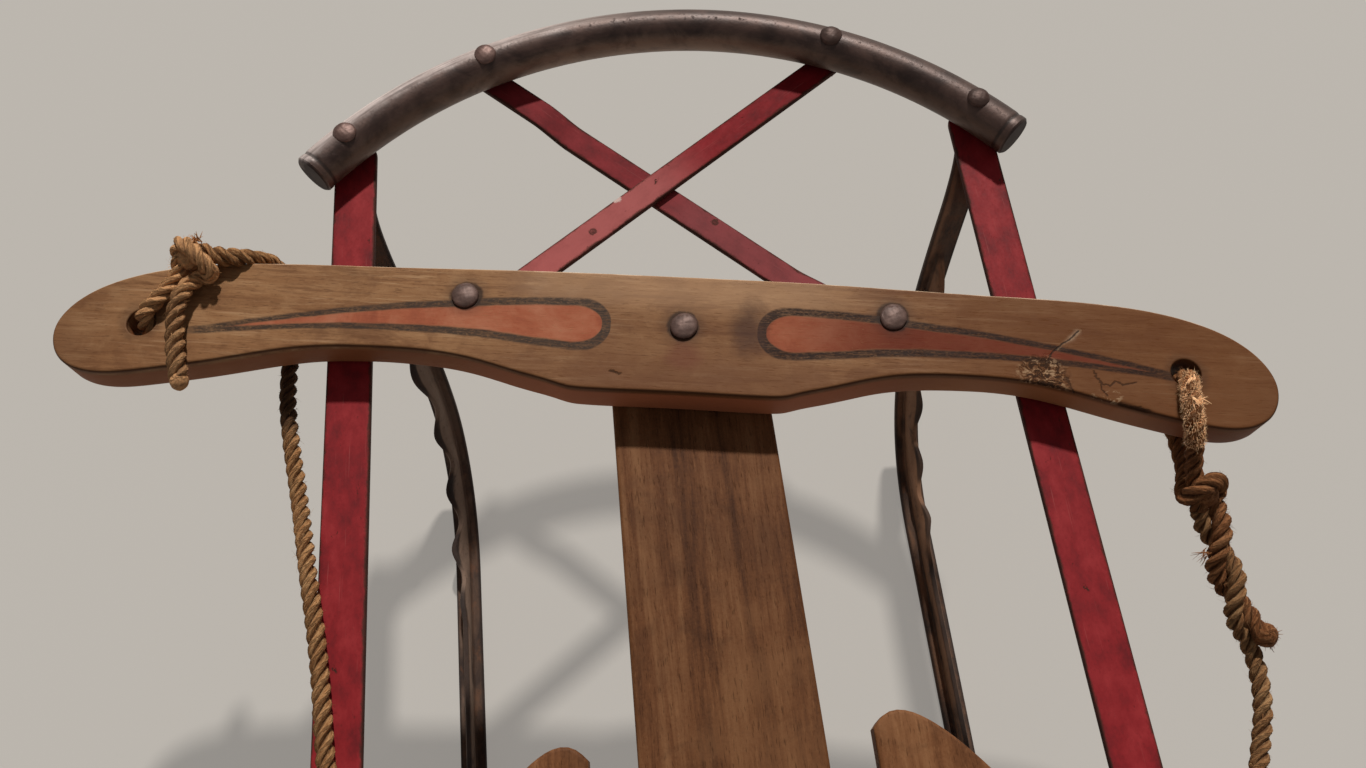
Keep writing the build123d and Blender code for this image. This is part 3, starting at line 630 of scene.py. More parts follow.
def teardrops(f, colour, rough, height, patches, soil):
    """A red teardrop inside a broad dark line on each arm, rubbed thin along the grain. Stains lie round the bolts and
    holes. The right arm and the rear half are darker and the hub's front paler, partly with grime and partly as
    painted shade and light. The right arm has its crack and torn patch."""
    s, t, up = f.axes
    away = abs(s)
    front, rear = outline_value(f, away, 1), outline_value(f, away, 2)
    heart, half = (front + rear) / 2, (front - rear) / 2
    wander = (f.noise((110.0, 220.0, 100.0), detail=3.0) - 0.5) * 2.6
    off = abs(t / MM - heart)
    top = up.ramp(0.1896, 0.1912)
    band = away.ramp(0.070, 0.175, TEARDROP_BAND, 0.68 * TEARDROP_BAND)
    tip = away.ramp(0.2130, 0.1980)

    def inside(grow):
        into = (away / MM - TEARDROP[0][0] - grow) / TEARDROP_CAP
        reach = into.maths("ADD", into, 0.0, clamp=True)
        round_end = (1 - (1 - reach) ** 2).most(0.0) ** 0.5
        return ((half - grow) * round_end - off + wander * 0.35).ramp(-0.6, 0.6) * top * tip * into.ramp(0.0, 0.04)

    def beside(place, sway, stretch=(1.0, 1.0, 1.0), level=BAR_TOP):
        place = (*(v * k * MM for v, k in zip(place, stretch)), level)
        return f.spot(place, stretch) + (soil - 0.5) * sway

    dark_mask, red_mask = inside(0.0), inside(band)
    rub = f.noise((90.0, 1000.0, 240.0), detail=7.0, rough=0.72)
    speckle = f.noise((700.0, 1500.0, 700.0), detail=3.0, rough=0.6)
    worn = rub.ramp(0.30, 0.56, 0.60, 1.0)
    clouds = f.noise((26.0, 44.0, 26.0), detail=6.0, rough=0.62, warp=1.4)
    streaks = f.noise((24.0, 460.0, 200.0), detail=7.0, rough=0.70, warp=0.3)
    pores = f.noise((170.0, 1500.0, 900.0), detail=3.0, rough=0.6).ramp(0.60, 0.68)
    # On the right arm the line and the red are darker: partly grime, partly painted shade.
    line_colour = f.mix(s.ramp(-0.020, 0.020), (0.040, 0.025, 0.018), (0.015, 0.005, 0.003))
    reds = [(0.36, (0.22, 0.049, 0.025)), (0.50, (0.355, 0.098, 0.048)), (0.64, (0.44, 0.165, 0.092))]
    red = f.over(f.shades(soil * 0.6 + patches * 0.4, reds), (s.ramp(0.020, 0.090, 0.0, 0.80), (0.100, 0.012, 0.004)))
    # Darker rear half, most of all at the hub: partly grime, partly painted shade.
    rear_grime_and_shade = t.ramp(-0.002, -0.024, 0.0, 0.72) * away.ramp(0.120, 0.060, 0.35, 1.0)
    colour = f.over(
        colour,
        (clouds.ramp(0.50, 0.34, 0.0, 0.55), (0.135, 0.054, 0.022)),
        (clouds.ramp(0.52, 0.66, 0.0, 0.40), (0.40, 0.225, 0.110)),
        (streaks.ramp(0.48, 0.36, 0.0, 0.55), (0.130, 0.052, 0.020)),
        (streaks.ramp(0.53, 0.66, 0.0, 0.50), (0.470, 0.285, 0.155)),
        (pores * 0.50, (0.085, 0.032, 0.013)),
        # Painted light on the hub's front, and painted shade behind it and on the right arm, partly grime too.
        (t.ramp(0.002, 0.015) * away.ramp(0.090, 0.050) * 0.50, (0.430, 0.250, 0.140)),
        (s.ramp(0.035, 0.140, 0.0, 0.78) * patches.ramp(0.20, 0.60, 0.7, 1.0), (0.116, 0.035, 0.0070)),
        (away.ramp(0.070, 0.030, 0.0, 0.38) * t.ramp(0.012, 0.002), (0.108, 0.034, 0.010)),
        (rear_grime_and_shade * soil.ramp(0.3, 0.6, 0.55, 1.0), (0.150, 0.060, 0.025)),
        (dark_mask * (1 - red_mask) * worn * speckle.ramp(0.68, 0.46, 0.62, 0.97), line_colour),
        (red_mask * rub.ramp(0.24, 0.46, 0.50, 0.95) * speckle.ramp(0.76, 0.60, 0.5, 1.0), red))
    for bolt in BOLTS:
        ring = beside(bolt, 0.006)
        colour = f.over(colour, (ring.ramp(0.0120, 0.0060, 0.0, 0.34), (0.050, 0.026, 0.017)),
                        (ring.ramp(0.0076, 0.0062, 0.0, 0.80), (0.022, 0.011, 0.008)))
    for hole in (HOLE_LEFT, HOLE_RIGHT):
        colour = f.over(colour, (beside(hole, 0.010, level=0.190).ramp(0.0115, 0.0062) * 0.45, (0.060, 0.028, 0.014)))

    smudge = (f.spot((0.0255, 0.0006, BAR_TOP), (1.0, 0.70, 1.0)) + (soil - 0.5) * 0.018).ramp(0.011, 0.002)
    side = up.ramp(0.1898, 0.1870) * t.ramp(-0.008, -0.014)
    # The rounded top edge's band, which carries a painted highlight at the front and painted shade at the rear.
    rim = up.ramp(0.1900, 0.1912) * up.ramp(0.19195, 0.1916)
    sway = (f.noise((190.0, 190.0, 190.0), detail=4.0, rough=0.65) - 0.5) * 4.5
    crack = (f.near(CRACK, sway) + (speckle - 0.5) * 0.4).ramp(0.50, 0.10) * top
    lip = f.near([(x + 1.2, y + 0.5) for x, y in CRACK[:4]], sway).ramp(0.60, 0.20) * top * speckle.ramp(0.40, 0.52)
    torn = beside(TORN, 0.018).ramp(0.0120, 0.0060) * top
    pits = f.noise((330.0, 420.0, 330.0), detail=5.0, rough=0.62, warp=1.2)
    hurt = torn * pits.ramp(0.50, 0.56)
    for line, wide in FINE_CRACKS:
        hurt = hurt.most((f.near(line, sway) + (speckle - 0.5) * 0.8).ramp(wide, wide * 0.2) * top * 0.8)
    chips = torn * pits.ramp(0.47, 0.41)
    flecks = beside((170.0, -22.2), 0.006, (0.75, 1.5, 1.0)).ramp(0.0060, 0.0030) * pits.ramp(0.47, 0.41) * top
    colour = f.over(
        colour,
        (smudge * 0.72, (0.052, 0.021, 0.014)),
        (beside((1.0, -13.5), 0.014).ramp(0.0095, 0.002) * 0.45, (0.150, 0.040, 0.024)),
        (away.ramp(0.215, 0.262, 0.0, 0.55) * patches.ramp(0.25, 0.6, 0.4, 1.0), (0.120, 0.048, 0.020)),
        (side * 0.80, (0.265, 0.088, 0.035)),
        (side * away.ramp(0.110, 0.045, 0.0, 0.60), (0.520, 0.172, 0.084)),
        (side * s.ramp(0.085, 0.120) * s.ramp(0.205, 0.175) * 0.70, (0.385, 0.158, 0.068)),
        (side * s.ramp(0.195, 0.225) * 0.50, (0.080, 0.028, 0.010)),
        # Painted highlight along the front of the rounded top edge, painted shade along its rear.
        (rim * soil.ramp(0.42, 0.58, 0.25, 0.6) * t.ramp(-0.004, 0.004, 0.0, 1.6), (0.78, 0.58, 0.41)),
        (rim * t.ramp(-0.002, -0.010) * 0.75, (0.060, 0.022, 0.009)),
        (lip * 0.40, (0.32, 0.20, 0.11)),
        (crack * 0.88, (0.018, 0.008, 0.005)),
        (torn * 0.35, (0.13, 0.060, 0.028)),
        (chips * 0.70, (0.42, 0.265, 0.150)),
        (flecks * 0.62, (0.46, 0.31, 0.185)),
        (hurt * 0.86, (0.026, 0.012, 0.007)))
    return colour, rough + 0.10 * red_mask + 0.2 * hurt, height - hurt * 2.0 - crack * 1.2 + chips * 0.8


def red_paint(name, half_wide, source="local", shade=(1.0, 1.0, 1.0), gloss=0.20, spots=(), bright=(), bloom=None):
    """Old red paint on flat steel: mottled, dulled, worn dark along its edges and chipped to brown metal. Spots are the
    places of small rust blisters and bright those of chips to shining metal, with their radius, all in metres of the
    piece. Bloom is a chalky colour, where along the piece it starts to fade, where it ends, and its share before and
    behind that."""
    f = Finish(name, source)
    s, t, _ = f.axes
    mottle = f.noise((60.0, 100.0, 60.0), detail=6.0, rough=0.65)
    fine = f.noise((900.0, 900.0, 900.0), detail=4.0, rough=0.6)
    flakes = f.noise((130.0, 260.0, 160.0), detail=7.0, rough=0.74, warp=0.4)
    scratches = f.noise((40.0, 1700.0, 400.0), detail=3.0, rough=0.5).ramp(0.66, 0.74)
    edge = (abs(t) / MM + (flakes - 0.5) * 3.6).ramp(half_wide - 1.4, half_wide - 0.1)
    reds = [(0.30, (0.120, 0.006, 0.009)), (0.50, (0.235, 0.010, 0.014)), (0.72, (0.330, 0.024, 0.028))]
    colour = f.over(
        f.shades(mottle, [(stop, tint(red, shade)) for stop, red in reds]),
        (fine.ramp(0.54, 0.75, 0.0, 0.30), (0.085, 0.008, 0.008)),
        (scratches * 0.35, (0.38, 0.10, 0.09)))
    if bloom:
        chalk, near, far, full, least = bloom
        colour = f.over(colour, (s.ramp(near, far, full, least) * mottle.ramp(0.30, 0.60, 0.80, 1.0), chalk))
    bare = edge.most(flakes.ramp(0.655, 0.685))
    height = mottle * 0.25 + fine * 0.2
    for place, radius in spots:
        away = f.spot(place) + (fine - 0.5) * 0.0026 + (flakes - 0.5) * 0.0020
        bare = bare.most(away.ramp(radius, 0.75 * radius) * away.ramp(0.35 * radius, 0.70 * radius, 0.45, 0.9))
        height = height + away.ramp(radius, 0.0) * 1.6
    colour = f.over(colour, (bare * 0.90, f.mix(mottle, (0.020, 0.010, 0.008), (0.065, 0.034, 0.022))))
    for place, radius in bright:
        chip = (f.spot(place) + (fine - 0.5) * 0.0022).ramp(radius, 0.7 * radius)
        colour = f.over(colour, (chip * 0.9, (0.62, 0.46, 0.42)))
    rough = 0.52 + 0.22 * fine + 0.12 * bare
    normal = f.bump(height - bare * 0.5, 0.00016, 0.7)
    return f.done(gloss=gloss, colour=colour, rough=rough, metal=bare * 0.3, normal=normal)


def bow_painted_light(f, colour, cloud, streak):
    """The bow's coordinates are its length and the way round from its front over its top: its front and top get a
    painted highlight, stronger and paler on the left, its rear underside a painted band of light, and its end faces and
    the rings beside them painted shade."""
    s, t, _ = f.axes
    angle = t / (BOW_BAR * MM) + (cloud - 0.5) * 0.5
    # Painted highlight on the front and top, stronger on the left.
    rubbed_and_lit = angle.ramp(-0.3, 0.5) * angle.ramp(1.75, 1.05) * s.ramp(0.015, -0.060, 0.10, 1.0)
    highlight_colour = f.mix(s.ramp(-0.11, 0.0), (0.900, 0.765, 0.725), (0.470, 0.375, 0.340))
    # Painted band of light on the rear underside.
    lit_underside = angle.ramp(2.20, 2.90) * angle.ramp(4.1, 3.5) * cloud.ramp(0.35, 0.55, 0.6, 1.0)
    # Painted shade on the end faces and in the turned rings.
    end = abs(s).ramp(0.1790, 0.1799)
    ring = abs(abs(s) / MM - (BOW_ARC * math.radians(BOW_END) - GROOVE_AT))
    colour = f.over(
        colour,
        (rubbed_and_lit * streak.ramp(0.30, 0.62, 0.35, 1.0) * 0.90, highlight_colour),
        (lit_underside * s.ramp(-0.14, -0.03, 0.50, 1.0) * s.ramp(0.02, 0.10, 1.0, 0.32) * 0.80, (0.300, 0.196, 0.142)),
        (end * 0.80, (0.024, 0.013, 0.010)),
        (ring.ramp(1.1, 0.4, 0.0, 0.7), (0.016, 0.009, 0.007)))
    return colour, end


def aged_steel(name, dark, pale, shine, rough, bow_light=False):
    """Bare steel gone brown: cloudy tone, pits and rust freckles over a dull metal. Bow light is for the bow: its
    painted highlights and shade.
    """
    f = Finish(name)
    cloud = f.noise((55.0, 75.0, 55.0), detail=7.0, rough=0.65, warp=0.5)
    pits = f.cells((820.0, 820.0, 820.0))
    freckle = f.noise((420.0, 420.0, 420.0), detail=5.0, rough=0.7).ramp(0.55, 0.68)
    streak = f.noise((30.0, 420.0, 420.0), detail=4.0, rough=0.6)
    colour = f.over(
        f.mix(cloud.ramp(0.30, 0.70), dark, pale),
        (streak.ramp(0.45, 0.7, 0.0, 0.35), tint(dark, 0.6)),
        (freckle * 0.4, tint(dark, (1.5, 0.9, 0.6))))
    if bow_light:
        colour, end = bow_painted_light(f, colour, cloud, streak)
        # Under their painted shade, the end faces also count as freckles: rougher, less metal and bumped, which dulls
        # their reflection.
        freckle = freckle.most(end)
    normal = f.bump(cloud * 0.5 + freckle * 0.3 - pits * 0.25, 0.0002, 0.55)
    rough = rough + 0.22 * cloud + 0.30 * freckle
    return f.done(colour=colour, rough=rough, metal=shine - 0.3 * freckle, normal=normal)


def rust(name, tan, rubbed_and_lit):
    """Brown rust on a rolled bar: scaly dark film, orange bloom, and patches of the given tan over the share rubbed.
    The faces of the upright web are tan too, between dark edges."""
    f = Finish(name)
    cloud = f.noise((38.0, 90.0, 60.0), detail=7.0, rough=0.66, warp=0.5)
    scale = f.noise((520.0, 620.0, 520.0), detail=6.0, rough=0.7)
    bloom = f.noise((150.0, 190.0, 150.0), detail=5.0, rough=0.62).ramp(0.50, 0.66)
    rub = f.noise((20.0, 60.0, 60.0), detail=4.0, rough=0.55).ramp(0.62 - 0.3 * rubbed_and_lit, 0.74 - 0.3 * rubbed_and_lit)
    _, across, above = f.axes
    web = above.ramp(0.0040, 0.0058) * above.ramp(0.0152, 0.0138)
    edge = abs(across).ramp(0.0048, 0.0060).most(above.ramp(0.0142, 0.0152))
    colour = f.over(
        f.mix(cloud.ramp(0.32, 0.66), (0.030, 0.015, 0.010), (0.105, 0.056, 0.034)),
        (bloom * 0.5, (0.150, 0.060, 0.025)),
        (rub * 0.62, tan),
        (web * cloud.ramp(0.36, 0.52, 0.25, 1.0) * 0.85, tan),
        (edge * 0.75, (0.018, 0.010, 0.008)),
        (scale.ramp(0.55, 0.72, 0.0, 0.55), (0.022, 0.012, 0.010)))
    normal = f.bump(scale * 0.6 + cloud * 0.4, 0.0004, 0.7)
    return f.done(colour=colour, rough=0.58 + 0.25 * scale, metal=0.28, normal=normal)


def laid_fibre(name, dry=0.0, shade=(1.0, 1.0, 1.0), dirt_and_shadow=()):
    """Natural fibre rope: local holds the length along a strand, the turn round it and how far out a point lies. Yarns
    run round each strand against the strands' own turn, with pale dry hairs outside, and the strands are nearly black
    brown the nearer they lie to the rope's middle. Dry bleaches it, shade multiplies its colours, and the listed
    stretches of its length, with their strength, are darkened, partly with dirt and partly as painted shadow."""
    f = Finish(name)
    s, turn, out = f.axes
    lay = s * 900.0 + turn * 3000.0
    yarns = lay.maths("SINE", lay)
    yarn = f.noise((420.0, 1300.0, 900.0), detail=7.0, rough=0.75)
    fuzz = f.noise((1900.0, 2600.0, 1900.0), detail=5.0, rough=0.75)
    broad = f.noise((30.0, 8.0, 8.0), detail=5.0, rough=0.65)
    groove = (out / MM + (yarn - 0.5) * 1.2).ramp(1.6, 3.5)
    browns = [(0.36, (0.135, 0.052, 0.018)), (0.49, (0.330, 0.150, 0.058)), (0.62, (0.640, 0.380, 0.180))]
    colour = f.over(
        f.shades(yarn * 0.45 + broad * 0.35 + fuzz * 0.2, browns),
        # Nearly black brown, more the nearer the strands lie to the rope's middle.
        ((1 - groove) * 0.88, (0.030, 0.011, 0.005)),
        (yarns.ramp(0.1, 1.0, 0.0, 0.22), (0.62, 0.38, 0.18)),
        (fuzz.ramp(0.56, 0.68, 0.0, 0.60), (0.74, 0.52, 0.28)),
        (fuzz.ramp(0.44, 0.34, 0.0, 0.55), (0.060, 0.024, 0.010)),
        (dry * fuzz.ramp(0.30, 0.55, 0.45, 1.0), (0.800, 0.560, 0.350)))
    colour = f.mix(1.0, colour, shade, blend="MULTIPLY")
    sway = s + (broad - 0.5) * 0.010
    for start, end, strength in dirt_and_shadow:
        dark_stretch = sway.ramp(start, start + 0.008) * sway.ramp(end, end - 0.010)
        colour = f.over(colour, (dark_stretch * strength, (0.040, 0.017, 0.010)))
    normal = f.bump(yarns * 0.30 + yarn * 0.45 + fuzz * 0.5, 0.0005, 0.9)
    return f.done(gloss=0.15, colour=colour, rough=0.90, normal=normal)


maple = wood("worn_varnished_maple", (0.160, 0.066, 0.026), (0.275, 0.132, 0.056), (0.370, 0.200, 0.094),
             ornament=teardrops, calm=0.55)
board_wood = wood("dark_varnished_board", (0.056, 0.019, 0.007), (0.138, 0.052, 0.019), (0.215, 0.098, 0.042), along=1)
deck_wood = wood("warm_varnished_ash", (0.085, 0.030, 0.010), (0.178, 0.069, 0.026), (0.270, 0.125, 0.054), along=1)
cross_wood = wood("warm_varnished_ash_across", (0.080, 0.028, 0.010), (0.165, 0.064, 0.024), (0.250, 0.115, 0.050))
strap_paint = red_paint("worn_red_paint_on_straps", STRAP_WIDE / 2)
link_over_paint = red_paint(
    "worn_red_paint_on_upper_link", LINK_WIDE / 2, shade=(0.84, 0.45, 0.62), gloss=0.09,
    spots=[((0.0658, -0.0002, 0.1740), 0.0026)], bright=[((0.0850, 0.0060, 0.1740), 0.0027)],
    bloom=((0.440, 0.126, 0.120), 0.096, 0.138, 0.80, 0.04))
link_under_paint = red_paint(
    "worn_red_paint_on_lower_link", LINK_WIDE / 2, shade=(0.78, 0.40, 0.58), gloss=0.09,
    spots=[((0.0943, -0.0035, 0.1705), 0.0024)], bloom=((0.262, 0.096, 0.098), 0.100, 0.130, 0.46, 0.18))
knee_paint = red_paint("worn_red_paint_on_knees", 90.0, source="object")
# The bow's steel carries its painted highlights and painted shade.
bow_steel = aged_steel("aged_round_bar", (0.024, 0.010, 0.007), (0.088, 0.047, 0.036), 0.38, 0.34, bow_light=True)
bolt_steel = aged_steel("aged_bolt_heads", (0.074, 0.041, 0.033), (0.230, 0.140, 0.116), 0.34, 0.44)
rivet_steel = aged_steel("aged_rivet_heads", (0.036, 0.017, 0.012), (0.105, 0.056, 0.044), 0.40, 0.42)
# Paler rivet steel for the two left rivets: painted highlight.
lit_rivet_steel = aged_steel("rubbed_rivet_heads", (0.090, 0.046, 0.037), (0.270, 0.165, 0.140), 0.40, 0.40)
runner_rust = {"left": rust("brown_rust_on_left_runner", (0.235, 0.155, 0.112), 0.4),
               "right": rust("brown_rust_on_right_runner", (0.298, 0.150, 0.080), 0.6)}
# The tow rope just behind the bar is darker, partly with dirt and partly as the bar's painted shadow; a weaker stretch
# lies further along.
tow_fibre = laid_fibre("laid_jute_tow_rope", dirt_and_shadow=[(0.055, 0.124, 0.84), (1.180, 1.400, 0.30)])
# The left knot's stub is darker, partly with dirt and partly as painted shade.
pale_fibre = laid_fibre("laid_jute_fibre_sunned", dry=0.26, shade=(1.24, 1.11, 0.97), dirt_and_shadow=[(0.152, 0.260, 0.48)])
# A darker copy of the rope fibre for the right knot; the left knot's, above, is paler.
dark_fibre = laid_fibre("laid_jute_fibre_handled", shade=(0.62, 0.50, 0.46))
frayed_fibre = laid_fibre("frayed_jute_yarn", dry=0.80, shade=(1.66, 1.60, 1.50))


# Steering bar


def bar_outline():
    """The bar's ring of points, anticlockwise from the right tip over the front, and the middle line beside each."""
    def arm(edge, reach):
        return [(reach * s, HUB_FRONT * y) for s, y in edge]

    front = arm(FRONT_EDGE[::-1], ARM_RIGHT) + [(0.0, HUB_FRONT)] + arm(FRONT_EDGE, -ARM_LEFT)
    rear = arm(REAR_EDGE[-2::-1], -ARM_LEFT) + [(0.0, HUB_FRONT * HUB_REAR)] + arm(REAR_EDGE[:-1], ARM_RIGHT)
    smooth = smooth_through(front + rear, closed=True)
    ring = even(smooth, 1.15)[0][:-1]
    turn = np.argmin(smooth[:, 0])
    ahead, behind = smooth[:turn][::-1], smooth[turn:]
    s = on_spine(ring[:, 0], -ARM_LEFT + 16.4, ARM_RIGHT - 16.6, 2.4)
    mid = (np.interp(s, ahead[:, 0], ahead[:, 1]) + np.interp(s, behind[:, 0], behind[:, 1])) / 2
    return ring, np.stack([s, mid], 1)


def bar_relief(s, t):
    """Hand-worn top: a slow unevenness, the crack's soft shoulder, the torn patch's pits and lips, the bruise near the
    rear edge, and a shallow nick at the hub. Each is a bell of the distance from its line or place."""
    def bell(distance, half, power=2):
        return np.exp(-(distance / half) ** power)

    height = 0.12 * ripple(s, t, 31.0) + 0.05 * ripple(s, t, 5.0, 2.0)
    height -= 0.15 * bell(near_line(s, t, CRACK), 1.2)
    height += 0.55 * ripple(s, t, 2.2, 4.0) * bell(np.hypot(s - TORN[0], t - TORN[1]), 8.0, 4)
    height -= 0.7 * bell(near_line(s, t, [(176.0, -25.5), (186.0, -28.5)]), 1.6)
    height -= 0.25 * bell(near_line(s, t, NICK), 0.9)
    return height


def drill(bar, foot, depth):
    """Cuts the two rope holes, with round lips at both faces, and gives the new mesh its own coordinates again."""
    past = 2.0
    flare = quarter(5)
    lips = [(ROPE_HOLE + HOLE_EDGE * (1 - math.sin(a)), HOLE_EDGE * (1 - math.cos(a))) for a in flare]
    lips += [(ROPE_HOLE + HOLE_EDGE * (1 - math.cos(a)), depth - HOLE_EDGE + HOLE_EDGE * math.sin(a)) for a in flare]
    wide = ROPE_HOLE + HOLE_EDGE
    profile = [(0, -past), (wide, -past)] + lips + [(wide, depth + past), (0, depth + past)]
    cutters = [turned(f"cutter_{k}", profile, (*turned_plan(*hole, STEER), foot), maple, sides=48)
               for k, hole in enumerate((HOLE_LEFT, HOLE_RIGHT))]
    for cutter in cutters:
        cut = bar.modifiers.new("hole", "BOOLEAN")
        cut.object = cutter
        cut.solver = "EXACT"
        cut.operation = "DIFFERENCE"
    mesh = bpy.data.meshes.new_from_object(bar.evaluated_get(bpy.context.evaluated_depsgraph_get()))
    bar.modifiers.clear()
    bar.data = mesh
    for cutter in cutters:
        bpy.data.objects.remove(cutter)
    places = points_of(mesh, np.float32)
    if "local" in mesh.attributes:
        mesh.attributes.remove(mesh.attributes["local"])
    set_local(mesh, np.stack([*turned_plan(places[:, 0], places[:, 1], -STEER), places[:, 2]], 1))
    set_look(mesh, maple, 42)


bar_foot, bar_depth = low("steering_bar")[2], high("steering_bar")[2] - low("steering_bar")[2]
ring, spine = bar_outline()
bar = slab("bar_wood", ring, spine, bar_foot, bar_depth, BAR_EDGE, maple, None, "varnished_maple", rows=24,
           place=((0, 0), STEER), relief=bar_relief,
           under_edge=np.interp(abs(ring[:, 0]), (HUB_ENDS, ARM_STARTS), (HUB_UNDER_EDGE, ARM_UNDER_EDGE)))
drill(bar, bar_foot, bar_depth)
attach(bar, "steering_bar")
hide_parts("steering_bar")

# Straps and links
FLATS = [
    # node and body, first hole's node, second hole's node, width, dip, paint
    ("strap_left", "strap_bolt_left", "bow_rivet_left_outer", STRAP_WIDE, 0.0, strap_paint),
    ("strap_right", "strap_bolt_right", "bow_rivet_right_outer", STRAP_WIDE, 0.0, strap_paint),
    ("link_over", "link_bolt_left", "bow_rivet_right_inner", LINK_WIDE, 0.0, link_over_paint),
    ("link_under", "link_bolt_right", "bow_rivet_left_inner", LINK_WIDE, LINK_DIP, link_under_paint),
]
for name, first, second, wide, dip, paint in FLATS:
    a, b = middle(first), middle(second)
    long = math.hypot(b[0] - a[0], b[1] - a[1])

    def bent(x, long=long, dip=dip):
        ramp = np.clip((np.minimum(x, long - x) - DIP_FROM) / DIP_RUN, 0, 1)
        return -dip * ramp * ramp * (3 - 2 * ramp)

    def dented(x, y, seed=long):
        return 0.10 * ripple(x, y, 26.0, seed) + 0.03 * ripple(x, y, 4.0, seed)

    place = (a[0], a[1]), math.atan2(b[1] - a[1], b[0] - a[0])
    flat = slab(f"{name}_flat", *stadium(long, wide), low(name)[2] + dip, FLAT_THICK, FLAT_EDGE, paint, name,
                "red_painted_steel", place=place, lift=bent, relief=dented)
    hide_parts(name)

# Bow: the round bar, with a turned ring near each end and its edges rounded
angles = np.radians(np.linspace(-BOW_END, BOW_END, 331))
reach = BOW_ARC * angles
rise = BOW_ARC * (np.cos(angles) - math.cos(math.radians(BOW_OUTER)))
bow_path = np.stack([*turned_plan(BOW_ARC * np.sin(angles), rise, BOW_YAW, BOW_MID), 0 * reach + middle("bow")[2]], 1)
from_end = reach[-1] - abs(reach)
groove = GROOVE_DEEP * np.exp(-((from_end - GROOVE_AT) / GROOVE_HALF) ** 2)
thick = BOW_BAR - groove + 0.05 * ripple(reach, 0 * reach, 9.0)
rounded = np.sqrt(np.maximum(BOW_EDGE ** 2 - (BOW_EDGE - from_end) ** 2, 0))
thick = np.where(from_end < BOW_EDGE, BOW_BAR - BOW_EDGE + rounded, thick)
around = circle(48)
outward = np.stack([*turned_plan(np.sin(angles), np.cos(angles), BOW_YAW), 0 * angles], 1)
way = round_about(around, outward[:, None], np.array([0, 0, 1.0]))
ends = [np.repeat(bow_path[k][None, None], len(around), 1) for k in (0, -1)]
skin = np.concatenate([ends[0], bow_path[:, None] + thick[:, None, None] * way, ends[1]])
length = np.concatenate([reach[:1], reach, reach[-1:]])[:, None]
local = np.stack(np.broadcast_arrays(length, (around * BOW_BAR)[None], 0 * length), -1).astype(float)
bow = make_piece("bow_bar", [(skin, local)], bow_steel, "bow")
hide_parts("bow")

# Domed bolts and rivets with their nuts or upset tails
FASTENERS = [
    # node, head radius, head rise, body, nut radius over corners, nut height, steel
    ("pivot_bolt", 5.7, 2.9, "sled", 8.0, 6.0, bolt_steel),
    ("link_bolt_left", 5.6, 2.8, "steering_bar", 6.5, 5.0, bolt_steel),
    ("link_bolt_right", 5.7, 2.8, "steering_bar", 6.5, 5.0, bolt_steel),
    ("strap_bolt_left", 5.9, 3.6, "sled", 6.0, 4.5, bolt_steel),
    ("strap_bolt_right", 5.9, 3.6, "sled", 6.0, 4.5, bolt_steel),
    ("bow_rivet_left_outer", 5.2, 3.4, "bow", 0.0, 0.0, lit_rivet_steel),
    ("bow_rivet_left_inner", 5.2, 3.4, "bow", 5.4, 2.4, lit_rivet_steel),
    ("bow_rivet_right_inner", 5.2, 3.4, "bow", 5.4, 2.4, rivet_steel),
    ("bow_rivet_right_outer", 5.2, 3.4, "bow", 0.0, 0.0, rivet_steel),
]
HEAD_HIGH = 3.4
SHANK = 3.0
SHANK_EDGE = 0.4
NUT_EDGE = 0.8
for k, (node, radius, rise, body, nut, nut_high, steel) in enumerate(FASTENERS):
    at, foot = middle(node), low(node)[2]
    seat = high(node)[2] - HEAD_HIGH
    head = turned(f"{node}_head", dome(radius, rise), (at[0], at[1], seat - 0.1), steel, hammered=0.07, seed=1.7 * k)
    shape = [(0, foot), (SHANK - SHANK_EDGE, foot), (SHANK, foot + 0.5), (SHANK, seat), (0, seat)]
    parts = [head, turned(f"{node}_shank", shape, (at[0], at[1], 0), steel, sides=24)]
    if nut:
        top, rim = foot + nut_high, 0.86 * nut
        shape = [(0, foot), (rim, foot), (nut, foot + NUT_EDGE), (nut, top - NUT_EDGE), (rim, top), (0, top)]
        parts.append(turned(f"{node}_nut", shape, (at[0], at[1], 0), steel, sides=6))
    fastener = joined(f"{node}_dome", parts)
    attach(fastener, body)
    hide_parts(node)

